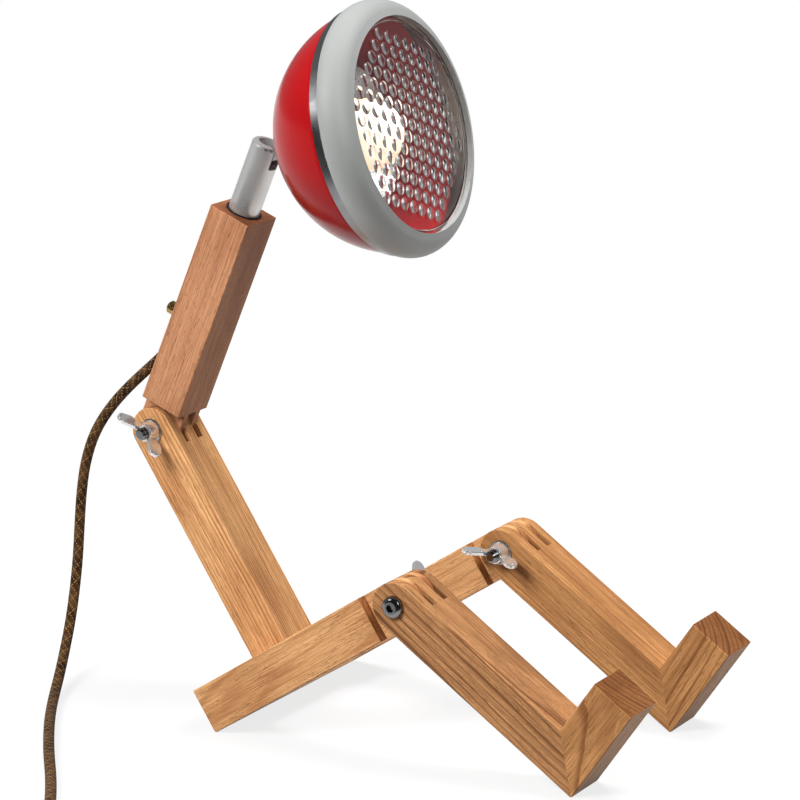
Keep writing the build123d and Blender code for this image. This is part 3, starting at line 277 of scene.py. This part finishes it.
# --- materials ------------------------------------------------------------------------------
class Nodes:
    """An emptied node tree, with short ways to fill it."""

    def __init__(self, tree):
        self.tree = tree
        tree.nodes.clear()

    def node(self, kind, inputs=(), **settings):
        made = self.tree.nodes.new(kind)
        for key, value in settings.items():
            setattr(made, key, value)
        for key, value in dict(inputs).items():
            self.give(made.inputs[key], value)
        return made

    def give(self, socket, value):
        """Link an output into a socket, or set the socket."""
        if isinstance(value, bpy.types.NodeSocket):
            self.tree.links.new(value, socket)
        elif socket.type == "RGBA" and len(value) == 3:
            socket.default_value = (*value, 1)
        else:
            socket.default_value = value

    def math(self, operation, *values):
        made = self.node("ShaderNodeMath", operation=operation)
        for socket, value in zip(made.inputs, values):
            self.give(socket, value)
        return made.outputs[0]

    def vector(self, operation, *values):
        made = self.node("ShaderNodeVectorMath", operation=operation)
        for socket, value in zip(made.inputs, values):
            self.give(socket, value)
        scalar = operation in ("DOT_PRODUCT", "LENGTH")
        return made.outputs["Value" if scalar else "Vector"]

    def noise(self, place, scale, detail, roughness=0.5, stretch=None):
        if stretch:
            place = self.vector("MULTIPLY", place, stretch)
        inputs = {"Vector": place, "Scale": scale, "Detail": detail, "Roughness": roughness}
        return self.node("ShaderNodeTexNoise", inputs).outputs[0]

    def smooth(self, value, low, high, to_low=0.0, to_high=1.0):
        """Smooth step from low to high."""
        inputs = {
            "Value": value, "From Min": low, "From Max": high,
            "To Min": to_low, "To Max": to_high,
        }
        made = self.node("ShaderNodeMapRange", inputs, interpolation_type="SMOOTHSTEP")
        return made.outputs[0]

    def mix(self, share, a, b, blend="MIX"):
        made = self.node("ShaderNodeMix", data_type="RGBA", blend_type=blend)
        self.give(made.inputs[0], share)
        self.give(made.inputs[6], a)
        self.give(made.inputs[7], b)
        return made.outputs[2]

    def bump(self, height, depth):
        """Normal from a height of 0 to 1 that stands for that depth in metres."""
        inputs = {"Height": height, "Distance": depth, "Strength": 1.0}
        return self.node("ShaderNodeBump", inputs).outputs[0]

    def principled(self, **sockets):
        """Principled shader whose inputs are named in small letters with underscores."""
        names = {key.replace("_", " ").title().replace("Ior", "IOR"): v for key, v in sockets.items()}
        return self.node("ShaderNodeBsdfPrincipled", names).outputs[0]

    def seen_through(self, path):
        """1 where a ray has passed through glass and hasn't been reflected on its way."""
        bounces = self.math("ADD", path["Diffuse Depth"], path["Glossy Depth"])
        direct = self.math("LESS_THAN", bounces, 0.5)
        return self.math("MULTIPLY", path["Is Transmission Ray"], direct)


class Shader(Nodes):
    """The nodes of one material."""

    def __init__(self, name):
        self.material = bpy.data.materials.new(name)
        self.material.use_nodes = True
        super().__init__(self.material.node_tree)
        self.places = self.node("ShaderNodeTexCoord")
        self.object = self.places.outputs["Object"]

    def finish(self, surface):
        """Use this surface, and give back the material."""
        self.node("ShaderNodeOutputMaterial", {"Surface": surface})
        return self.material


SEED_STEP = (137.0, 71.0, 43.0)  # from one timber's noise to the next, in millimetres
NEXT_NOISE = (311.0, 17.0, 5.0)  # to a second noise that doesn't follow the first


def growth_rings(s, local, seeded, shifted, ring, pith, lean, wave):
    """How far a point is through its year's ring, from 0 to 1, and how dense the wood is there."""
    sway_y = s.math("SUBTRACT", s.noise(seeded, 0.09, 2, stretch=(0.16, 1, 1)), 0.5)
    sway_z = s.math("SUBTRACT", s.noise(shifted, 0.07, 2, stretch=(0.16, 1, 1)), 0.5)
    out_y = s.vector("DOT_PRODUCT", local, (-lean[0], 1, 0))
    out_z = s.vector("DOT_PRODUCT", local, (-lean[1], 0, 1))
    out_y = s.math("MULTIPLY_ADD", sway_y, wave, s.math("SUBTRACT", out_y, pith[0]))
    out_z = s.math("MULTIPLY_ADD", sway_z, wave, s.math("SUBTRACT", out_z, pith[1]))
    squares = s.math("MULTIPLY_ADD", out_y, out_y, s.math("MULTIPLY", out_z, out_z))
    reach = s.math("DIVIDE", s.math("SQRT", squares), ring)
    uneven = s.noise(s.math("MULTIPLY", reach, 0.45), 1.0, 1)
    rings = s.math("MULTIPLY_ADD", uneven, 1.6, reach)
    part = s.math("FRACT", rings)
    year = s.node("ShaderNodeTexWhiteNoise", {"W": s.math("FLOOR", rings)}, noise_dimensions="1D")
    dense = s.math("MULTIPLY", s.smooth(part, 0.42, 0.86), s.smooth(part, 1.0, 0.93))
    dense = s.math("MULTIPLY", dense, s.math("MULTIPLY_ADD", year.outputs[0], 0.6, 0.4))
    return part, dense


def wood(name, origin, along, across, early, late, ring, seed, pith=(60.0, 18.0), lean=(0.0, 0.0),
         wave=2.5, contrast=0.7, lines=0.45, flecks=0.5):
    """Timber cut from a round trunk: rings round a pith line, fibres along, pores and flecks.

    early and late are the colours of the wood that grows in spring and in summer. ring is the
    width of a year's ring in millimetres. pith is where the pith line passes, across and through
    the bar in millimetres, and lean is how far it shifts with each millimetre along the bar.
    wave bends the rings. contrast, lines and flecks say how strongly summer wood, vessels and
    flecks show.
    """
    s = Shader(name)
    turn = Matrix((along, across, along.cross(across))).transposed().to_euler()
    local = s.node(
        "ShaderNodeMapping",
        {"Vector": s.object, "Location": tuple(origin), "Rotation": tuple(turn)},
        vector_type="TEXTURE",
    ).outputs[0]
    local = s.vector("MULTIPLY", local, (1 / MM,) * 3)
    seeded = s.vector("ADD", local, tuple(step * seed for step in SEED_STEP))
    shifted = s.vector("ADD", seeded, NEXT_NOISE)
    part, dense = growth_rings(s, local, seeded, shifted, ring, pith, lean, wave)
    fibre = s.noise(seeded, 1.0, 4, 0.65, stretch=(0.022, 1.5, 1.5))
    fine = s.noise(seeded, 1.0, 3, 0.6, stretch=(0.12, 5.0, 5.0))
    broad = s.noise(seeded, 1.0, 2, 0.5, stretch=(0.012, 0.05, 0.05))
    pore_place = s.noise(seeded, 1.0, 1, 0.5, stretch=(0.16, 3.2, 3.2))
    pores = s.math("MULTIPLY", s.smooth(pore_place, 0.60, 0.70), s.smooth(part, 0.62, 0.05))
    fleck_place = s.noise(shifted, 1.0, 0, 0.5, stretch=(0.28, 1.7, 1.7))
    fleck = s.math("MULTIPLY", s.smooth(fleck_place, 0.66, 0.74), flecks)
    vessels = s.noise(seeded, 1.0, 2, 0.6, stretch=(0.02, 2.4, 2.4))
    dark = [c * 0.42 for c in late]
    colour = s.mix(s.math("MULTIPLY", dense, contrast), early, late)
    colour = s.mix(s.smooth(fibre, 0.40, 0.66, 0, 0.50), colour, late)
    colour = s.mix(s.smooth(vessels, 0.54, 0.66, 0, lines), colour, [c * 0.6 for c in late])
    colour = s.mix(s.smooth(fibre, 0.5, 0.25, 0, 0.30), colour, [min(1, c * 1.22) for c in early])
    colour = s.mix(s.smooth(fine, 0.45, 0.66, 0, 0.40), colour, [c * 0.72 for c in late])
    colour = s.mix(s.smooth(broad, 0.4, 0.72, 0, 0.35), colour, late, "MULTIPLY")
    colour = s.mix(s.math("MULTIPLY", pores, 0.75), colour, dark)
    colour = s.mix(fleck, colour, dark)
    facing = s.vector("DOT_PRODUCT", s.places.outputs["Normal"], tuple(along))
    end = s.smooth(s.math("ABSOLUTE", facing), 0.72, 0.95, 0, 0.6)
    colour = s.mix(end, colour, s.mix(1.0, colour, late, "MULTIPLY"))
    colour = s.mix(s.math("MULTIPLY", end, dense), colour, dark)
    grain = s.math("MULTIPLY_ADD", pores, -1.0, s.math("MULTIPLY", fine, 0.5))
    grain = s.math("MULTIPLY_ADD", dense, 0.3, grain)
    return s.finish(s.principled(
        base_color=colour,
        roughness=s.smooth(fibre, 0.2, 0.8, 0.42, 0.58),
        specular_ior_level=0.14,
        normal=s.bump(grain, 0.00010),
    ))


def metal(name, colour, roughness, streak=0.0, scratches=0.1, stretch=(900, 900, 900), bare=1.0):
    """Bare or plated metal with slightly uneven gloss and fine marks."""
    s = Shader(name)
    cloud = s.noise(s.object, 55.0, 3, 0.6)
    marks = s.noise(s.object, 1.0, 3, 0.7, stretch=stretch)
    rough = s.math("MULTIPLY_ADD", s.smooth(cloud, 0.3, 0.7), roughness * 0.5, roughness * 0.75)
    rough = s.math("MULTIPLY_ADD", s.smooth(marks, 0.45, 0.75), scratches, rough)
    tone = colour
    if streak:
        dull = [c * (1 - streak) for c in colour]
        tone = s.mix(s.smooth(marks, 0.3, 0.8, 0, 0.5), colour, dull)
    return s.finish(s.principled(
        base_color=tone, metallic=bare, roughness=rough, normal=s.bump(marks, 0.000006)
    ))


def plastic(name, colour, roughness):
    """Moulded plastic or rubber with a fine surface texture."""
    s = Shader(name)
    skin = s.noise(s.object, 1400.0, 2, 0.6)
    cloud = s.noise(s.object, 40.0, 2, 0.5)
    tone = s.mix(s.smooth(cloud, 0.3, 0.7), [c * 0.88 for c in colour], colour)
    rough = s.math("MULTIPLY_ADD", s.smooth(skin, 0.3, 0.7), 0.12, roughness)
    return s.finish(s.principled(base_color=tone, roughness=rough, normal=s.bump(skin, 0.00003)))


def enamel(name, colour):
    """Glossy stove enamel with a trace of orange peel and dust."""
    s = Shader(name)
    peel = s.noise(s.object, 420.0, 2, 0.5)
    dust = s.noise(s.object, 2600.0, 1, 0.5)
    cloud = s.noise(s.object, 24.0, 2, 0.5)
    tone = s.mix(s.smooth(cloud, 0.3, 0.7), [c * 0.85 for c in colour], colour)
    tone = s.mix(s.smooth(dust, 0.74, 0.80, 0, 0.25), tone, (0.8, 0.6, 0.55))
    return s.finish(s.principled(
        base_color=tone,
        roughness=s.smooth(cloud, 0.3, 0.7, 0.16, 0.22),
        specular_ior_level=0.12,
        normal=s.bump(peel, 0.000012),
    ))


def satin_paint(name, colour):
    """Silver-grey satin paint with fine metal flakes."""
    s = Shader(name)
    flakes = s.noise(s.object, 3200.0, 1, 0.5)
    cloud = s.noise(s.object, 30.0, 3, 0.5)
    tone = s.mix(s.smooth(flakes, 0.35, 0.7), [c * 0.9 for c in colour], colour)
    tone = s.mix(s.smooth(cloud, 0.35, 0.65, 0, 0.4), tone, [c * 0.94 for c in colour])
    return s.finish(s.principled(
        base_color=tone,
        metallic=0.25,
        roughness=s.smooth(cloud, 0.3, 0.7, 0.44, 0.52),
        specular_ior_level=0.3,
        normal=s.bump(flakes, 0.000006),
    ))


def clear_glass(name, tint, roughness):
    """Clear moulded glass that lets the lamps' light through instead of casting a shadow."""
    s = Shader(name)
    ripple = s.noise(s.object, 110.0, 2, 0.5)
    glass = s.principled(
        base_color=tint,
        roughness=roughness,
        ior=1.49,
        transmission_weight=1.0,
        normal=s.bump(ripple, 0.00002),
    )
    through = s.node("ShaderNodeBsdfTransparent", {"Color": (0.96, 0.96, 0.96)}).outputs[0]
    lamp_ray = s.node("ShaderNodeLightPath").outputs["Is Shadow Ray"]
    blend = s.node("ShaderNodeMixShader", {0: lamp_ray, 1: glass, 2: through})
    return s.finish(blend.outputs[0])


def glowing_bulb(name, colour, strength):
    """Frosted bulb, brightest at its middle."""
    s = Shader(name)
    frost = s.noise(s.object, 900.0, 2, 0.6)
    facing = s.node("ShaderNodeLayerWeight", {"Blend": 0.35}).outputs["Facing"]
    glow = s.mix(facing, colour, [c * k for c, k in zip(colour, (0.9, 0.62, 0.35))])
    return s.finish(s.principled(
        base_color=s.mix(frost, (0.86, 0.84, 0.80), (0.95, 0.93, 0.9)),
        roughness=0.4,
        emission_color=glow,
        emission_strength=strength,
        normal=s.bump(frost, 0.00003),
    ))


def braid(name, dark, brown, gold):
    """Braided textile: two families of strands that pass over and under each other."""
    s = Shader(name)
    strands = 18.0
    uv = s.node("ShaderNodeUVMap", uv_map="braid").outputs[0]
    split = s.node("ShaderNodeSeparateXYZ", {0: uv})
    round_it = s.math("MULTIPLY", split.outputs[0], strands)
    along = s.math("MULTIPLY", split.outputs[1], strands * 0.8)
    left = s.math("ADD", round_it, along)
    right = s.math("SUBTRACT", round_it, along)

    def strand(value):
        """Rounded section of one strand, 0 at its edges and 1 at its middle."""
        off = s.math("MULTIPLY_ADD", s.math("FRACT", value), 2.0, -1.0)
        return s.math("SUBTRACT", 1.0, s.math("MULTIPLY", off, off))

    count = s.math("ADD", s.math("FLOOR", left), s.math("FLOOR", right))
    over = s.math("LESS_THAN", s.math("PINGPONG", count, 1.0), 0.5)
    under = s.math("SUBTRACT", 1.0, over)
    height = s.math("MULTIPLY_ADD", strand(left), over, s.math("MULTIPLY", strand(right), under))
    left_pick = s.math("LESS_THAN", s.math("FLOORED_MODULO", s.math("FLOOR", left), 4.0), 0.5)
    right_pick = s.math("LESS_THAN", s.math("FLOORED_MODULO", s.math("FLOOR", right), 7.0), 0.5)
    golden = s.math("MAXIMUM", s.math("MULTIPLY", left_pick, over),
                    s.math("MULTIPLY", right_pick, under))
    thread = s.noise(s.object, 4200.0, 2, 0.6)
    cloud = s.noise(s.object, 130.0, 2, 0.6)
    tone = s.mix(s.smooth(cloud, 0.35, 0.65), dark, brown)
    tone = s.mix(s.math("MULTIPLY", golden, s.smooth(thread, 0.3, 0.6, 0.45, 1)), tone, gold)
    # Painted shade: each strand darkens towards its edges, so the gaps between strands look shaded.
    tone = s.mix(s.smooth(height, 0.75, 0.0, 0, 0.8), tone, [c * 0.25 for c in dark])
    return s.finish(s.principled(
        base_color=tone,
        roughness=0.75,
        specular_ior_level=0.15,
        sheen_weight=0.04,
        sheen_roughness=0.5,
        normal=s.bump(height, 0.00022),
    ))


# Colours of timber, each as early and late wood
PINK = ((0.60, 0.300, 0.158), (0.33, 0.130, 0.056))
GOLDEN = ((0.92, 0.510, 0.230), (0.38, 0.155, 0.050))
PALE = ((0.80, 0.44, 0.200), (0.40, 0.170, 0.060))
BROWN = ((0.56, 0.275, 0.115), (0.140, 0.052, 0.020))
TAWNY = ((0.62, 0.310, 0.120), (0.24, 0.090, 0.030))

# Timber of each bar: where the bar starts, its run, and the look of its grain
right_leg_start = KNEE - SIDEWAYS * LEG_SIDE
left_leg_start = KNEE + SIDEWAYS * LEG_SIDE
foot_dir = polar(LEG_ANGLE + 90)
timber = {
    "upper_torso_block": wood(
        "beech_upper", ELBOW, polar(UPPER_ANGLE), SIDEWAYS, *PINK,
        ring=4.0, pith=(45, 70), seed=1, contrast=0.30, wave=2, lines=0.30, flecks=0.35,
    ),
    "lower_torso_block": wood(
        "oak_torso", ELBOW, polar(TORSO_ANGLE + 180), SIDEWAYS, *GOLDEN,
        ring=1.7, pith=(58, 62), seed=2, contrast=0.85, wave=2, lines=0.7, flecks=0.2,
    ),
    "right_thigh_bar": wood(
        "oak_right_thigh", right_leg_start, polar(SEAT_ANGLE + 180), SIDEWAYS, *PALE,
        ring=4.4, pith=(26, 3), lean=(0.05, 0.09), seed=3, contrast=0.6, wave=9, flecks=0.2,
    ),
    "left_thigh_bar": wood(
        "oak_left_thigh", left_leg_start, polar(SEAT_ANGLE + 180), SIDEWAYS, *PALE,
        ring=3.2, pith=(40, 22), seed=4, contrast=0.6, wave=4, flecks=0.3,
    ),
    "hip_cross_block": wood(
        "oak_hip", SEAT_CORNER, SIDEWAYS, polar(SEAT_ANGLE), *PALE,
        ring=3.4, pith=(10, 50), seed=5, contrast=0.6, wave=3, flecks=0.3,
    ),
    "right_shin_bar": wood(
        "oak_right_shin", right_leg_start, polar(LEG_ANGLE), SIDEWAYS, *BROWN,
        ring=4.2, pith=(12, -58), lean=(0.0, -0.03), seed=6, contrast=0.95, wave=4, flecks=0.2,
    ),
    "left_shin_bar": wood(
        "oak_left_shin", left_leg_start, polar(LEG_ANGLE), SIDEWAYS, *TAWNY,
        ring=3.4, pith=(30, 60), seed=7, contrast=0.6, wave=3, flecks=0.2,
    ),
    "right_foot_block": wood(
        "oak_right_foot", right_leg_start + polar(LEG_ANGLE) * FOOT_ALONG, foot_dir, SIDEWAYS, *TAWNY,
        ring=4.6, pith=(64, 20), lean=(0.12, 0.1), seed=8, contrast=0.95, wave=2, flecks=0.2,
    ),
    "left_foot_block": wood(
        "oak_left_foot", left_leg_start + polar(LEG_ANGLE) * FOOT_ALONG, foot_dir, SIDEWAYS, *TAWNY,
        ring=4.2, pith=(-48, 44), lean=(0.0, 0.1), seed=9, contrast=0.95, wave=2, flecks=0.2,
    ),
}
dowel_wood = wood(
    "beech_dowels", SEAT_CORNER, SIDEWAYS, polar(SEAT_ANGLE), *PALE, ring=2.0, seed=10
)
for part_name in ("hip_dowels", "torso_dowels", "right_foot_dowels", "left_foot_dowels"):
    timber[part_name] = dowel_wood

black = plastic("black_moulded", (0.018, 0.017, 0.017), 0.42)
rubber = plastic("black_rubber", (0.012, 0.012, 0.012), 0.6)
bakelite = plastic("black_holder", (0.025, 0.022, 0.020), 0.3)
bright = metal("zinc_plate", (0.84, 0.84, 0.84), 0.20, scratches=0.06, bare=0.82)
dark_steel = metal("dark_steel", (0.22, 0.22, 0.23), 0.15, scratches=0.08)
washer_steel = metal("washer_steel", (0.50, 0.48, 0.46), 0.34, scratches=0.08)
satin = metal(
    "satin_steel", (0.66, 0.66, 0.65), 0.36, streak=0.04, scratches=0.04,
    stretch=(900, 900, 70), bare=0.75,
)
chrome = metal("chrome", (0.30, 0.30, 0.31), 0.34, scratches=0.03)
polished = metal("anodised_aluminium", (0.72, 0.71, 0.71), 0.32, streak=0.1)
silicone = plastic("clear_silicone", (0.42, 0.41, 0.40), 0.35)
brass = metal("brass", (0.62, 0.42, 0.16), 0.22, streak=0.2)
finishes = {
    "neck_bush": rubber,
    "switch_body": bakelite,
    "switch_bush": brass,
    "switch_mounting_nut": brass,
    "switch_knob": brass,
    "cord_gland": black,
    "neck_tube": satin,
    "head_pivot_pin": satin,
    "head_stem": satin,
    "head_shell": enamel("red_enamel", (0.36, 0.004, 0.006)),
    "trim_band": chrome,
    "bezel_ring": satin_paint("bezel_paint", (0.38, 0.39, 0.38)),
    "lens_gasket": silicone,
    "stem_nut": brass,
    "lamp_holder": bakelite,
    "reflector": polished,
    "holder_ring": bakelite,
    "bulb_cap": brass,
    "bulb_globe": glowing_bulb("frosted_bulb", (1.0, 0.84, 0.60), 1.1),
    "coil_tie": black,
    "plug_body": black,
    "plug_pins": brass,
}
for joint_name in ("elbow", "right_knee", "left_knee"):
    finishes[f"{joint_name}_bolt"] = dark_steel
    finishes[f"{joint_name}_washer"] = washer_steel
    finishes[f"{joint_name}_wing_nut"] = bright
finishes.update(timber)


def dress(piece, material):
    """One material over the whole piece."""
    piece.data.materials.clear()
    piece.data.materials.append(material)


for node_name, finish in finishes.items():
    dress(NODES[node_name], finish)
dress(cord, braid("braided_cord", (0.026, 0.012, 0.005), (0.115, 0.056, 0.022), (0.36, 0.20, 0.075)))

# --- lens -----------------------------------------------------------------------------------
LENS_BACK = 105.8 * MM  # along the head's axis from its pivot
LENS_THICKNESS = 3 * MM
LENS_RADIUS = 72.4 * MM
LENS_CROWN = 2.6 * MM
CROWN_EDGE = 65.2 * MM
BUMP_PITCH = 10.0 * MM
BUMP_RADIUS = 4.1 * MM
BUMP_HEIGHT = 1.05 * MM
BUMP_REACH = 60.5 * MM  # from the middle of the lens to the outermost bumps
BUMP_TURN = -20  # of one row of bumps, in degrees
# Rings of points on a bump: share of its radius, and how many points
BUMP_RINGS = ((0.0, 1), (0.22, 6), (0.42, 12), (0.6, 18), (0.76, 24), (0.9, 24), (1.0, 30))
LENS_SIDES = 180
RIM_BEAD = 0.5 * MM  # height of the round bead near the lens edge
RIM_BEAD_WIDTH = 1.4 * MM
BEAD_STEPS = 4
SAME_POINT = 1e-7  # points nearer than this are one


def crown(radius):
    """How far the lens stands forward of its flat edge."""
    if radius >= CROWN_EDGE:
        return 0.0
    ball = (CROWN_EDGE**2 + LENS_CROWN**2) / (2 * LENS_CROWN)
    return sqrt(ball**2 - radius**2) - (ball - LENS_CROWN)


def bumped_lens():
    """Clear disc whose front carries round bumps in staggered rows."""
    flat, heights = [], []
    across = Vector((cos(radians(BUMP_TURN)), sin(radians(BUMP_TURN)))) * BUMP_PITCH
    slanting = Vector((cos(radians(BUMP_TURN - 60)), sin(radians(BUMP_TURN - 60)))) * BUMP_PITCH
    ball = (BUMP_RADIUS**2 + BUMP_HEIGHT**2) / (2 * BUMP_HEIGHT)
    count = int(2 * BUMP_REACH / BUMP_PITCH)
    for i in range(-count, count + 1):
        for j in range(-count, count + 1):
            centre = across * i + slanting * j
            if centre.length > BUMP_REACH:
                continue
            for share, sides in BUMP_RINGS:
                out = share * BUMP_RADIUS
                rise = sqrt(ball**2 - out**2) - (ball - BUMP_HEIGHT)
                for k in range(sides):
                    turn = tau * k / sides
                    place = centre + Vector((cos(turn), sin(turn))) * out
                    flat.append(place)
                    heights.append(crown(place.length) + rise)
    bead = [
        (CROWN_EDGE + RIM_BEAD_WIDTH * k / BEAD_STEPS, RIM_BEAD * sin(radians(180 * k / BEAD_STEPS)))
        for k in range(BEAD_STEPS + 1)
    ]
    for radius, rise in bead + [(LENS_RADIUS, 0.0)]:
        for k in range(LENS_SIDES):
            turn = tau * k / LENS_SIDES
            flat.append(Vector((cos(turn), sin(turn))) * radius)
            heights.append(crown(radius) + rise)
    corners, _, triangles, sources, _, _ = delaunay_2d_cdt(flat, [], [], 0, SAME_POINT)
    axis, up = polar(HEAD_PITCH), polar(HEAD_PITCH + 90)
    points = []
    for front in (True, False):
        for corner, source in zip(corners, sources):
            rise = LENS_THICKNESS + heights[source[0]] if front else crown(corner.length)
            points.append(
                PIVOT + axis * (LENS_BACK + rise) + SIDEWAYS * corner.x + up * corner.y
            )
    half = len(corners)
    faces = [tuple(t) for t in triangles]
    faces += [tuple(half + k for k in reversed(t)) for t in triangles]
    rim = [k for k, c in enumerate(corners) if c.length > LENS_RADIUS - 0.01 * MM]
    rim.sort(key=lambda k: -Vector((1, 0)).angle_signed(corners[k], 0))
    for a, b in zip(rim, rim[1:] + rim[:1]):
        faces.append((b, a, half + a, half + b))
    return mesh_object("bumped_lens", points, faces, smooth_below=25)


lens = bumped_lens()
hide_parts("front_lens")
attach(lens, "head")
dress(lens, clear_glass("clear_lens", (0.90, 0.91, 0.91), 0.02))

# --- studio ---------------------------------------------------------------------------------
FLOOR_RADIUS = 14
FLOOR_SIDES = 96
FLOOR_GAP = 0.2 * MM  # under the lamp
TABLE_EDGE = 0.15  # from the lamp towards the camera, where the white table starts to end
TABLE_FADE = 0.2
TABLE_TONES = ((0.80, 0.80, 0.80), (0.84, 0.84, 0.84))
DIM_TABLE = (0.03, 0.03, 0.03)
BOUNCE_LOSS = 0.75  # share of the table's light that doesn't reach the lamp again
NEAR_WHITE = 0.80  # share of plain white in the floor near the lamp; the rest takes its shadow
SHADOW_FADE = (0.3, 1.1)  # distances from the lamp over which that share rises to 1
WHITE = (1, 1, 1)
PALE_ROOM = 0.26
DARK_ROOM = 0.04
ROOM_EDGE = (0.0, 0.55)  # cosine from the camera's direction, pale below and dark above
ROOM_COLOUR = (0.97, 0.98, 1.0)


def pale_floor():
    """Round floor that shows white and keeps the lamp's shadow.

    In reflections it is a white table that ends in front of the lamp, where the room is dark.
    """
    turns = [tau * k / FLOOR_SIDES for k in range(FLOOR_SIDES)]
    rim = [Vector((cos(turn), sin(turn), 0)) * FLOOR_RADIUS for turn in turns]
    low = Vector((0, 0, FLOOR_GAP))
    floor = mesh_object("floor", [p - low for p in rim], [tuple(range(FLOOR_SIDES))])
    s = Shader("floor")
    path = s.node("ShaderNodeLightPath").outputs
    near = s.vector("DOT_PRODUCT", s.object, tuple(TOWARDS_CAMERA))
    past_edge = s.smooth(near, TABLE_EDGE, TABLE_EDGE + TABLE_FADE)
    mirrored = s.math("MULTIPLY", path["Is Glossy Ray"], past_edge)
    through = s.seen_through(path)
    inside = s.math("SUBTRACT", path["Is Transmission Ray"], through)
    indirect = s.math("MAXIMUM", path["Is Diffuse Ray"], inside)
    dim = s.math("MULTIPLY_ADD", indirect, BOUNCE_LOSS, mirrored)
    speckle = s.noise(s.object, 30.0, 2, 0.5)
    pale = s.mix(speckle, *TABLE_TONES)
    plain = s.principled(
        base_color=s.mix(dim, pale, DIM_TABLE), roughness=0.8, specular_ior_level=0.1
    )
    shine = s.node("ShaderNodeEmission", {"Color": WHITE, "Strength": 1.0}).outputs[0]
    seen = s.math("MAXIMUM", path["Is Camera Ray"], through)
    seen = s.math("MAXIMUM", seen, s.math("SUBTRACT", path["Is Glossy Ray"], mirrored))
    away = s.vector("LENGTH", s.object)
    share = s.math("MULTIPLY", seen, s.smooth(away, *SHADOW_FADE, NEAR_WHITE, 1.0))
    blend = s.node("ShaderNodeMixShader", {0: share, 1: plain, 2: shine})
    dress(floor, s.finish(blend.outputs[0]))


def soft_world():
    """White all round for the camera, also straight through the lens. Light and reflections come
    from a pale room instead, dark where the photograph is taken from.
    """
    world = bpy.data.worlds.new("studio")
    bpy.context.scene.world = world
    world.use_nodes = True
    s = Nodes(world.node_tree)
    path = s.node("ShaderNodeLightPath").outputs
    way = s.node("ShaderNodeTexCoord").outputs["Generated"]
    facing = s.vector("DOT_PRODUCT", way, tuple(TOWARDS_CAMERA))
    strength = s.smooth(facing, *ROOM_EDGE, PALE_ROOM, DARK_ROOM)
    room = s.node("ShaderNodeBackground", {"Color": ROOM_COLOUR, "Strength": strength}).outputs[0]
    white = s.node("ShaderNodeBackground", {"Color": WHITE, "Strength": 1.0}).outputs[0]
    seen = s.math("MAXIMUM", path["Is Camera Ray"], s.seen_through(path))
    blend = s.node("ShaderNodeMixShader", {0: seen, 1: room, 2: white})
    s.node("ShaderNodeOutputWorld", {"Surface": blend.outputs[0]})


def softbox(name, direction, distance, size, power, mirrored=True):
    """Rectangular area light that faces the lamp; metal shows it where it is mirrored."""
    light = bpy.data.lights.new(name, "AREA")
    light.shape = "RECTANGLE"
    light.size, light.size_y = size
    light.energy = power
    made = bpy.data.objects.new(name, light)
    towards = Vector(direction).normalized()
    made.location = VIEW_TARGET + towards * distance
    made.rotation_euler = towards.to_track_quat("Z", "Y").to_euler()
    made.visible_glossy = mirrored
    bpy.context.scene.collection.objects.link(made)


pale_floor()
soft_world()
softbox("key", (-0.22, -0.80, 0.62), 2.2, (0.9, 0.9), 56, mirrored=False)
softbox("top", (0.26, 0.25, 0.95), 1.8, (0.8, 0.8), 42, mirrored=False)
softbox("strip_left", (-0.62, -0.75, 0.60), 1.8, (0.35, 0.6), 4)
softbox("strip_right", (0.80, -0.55, 0.62), 1.8, (0.3, 0.8), 3.5)
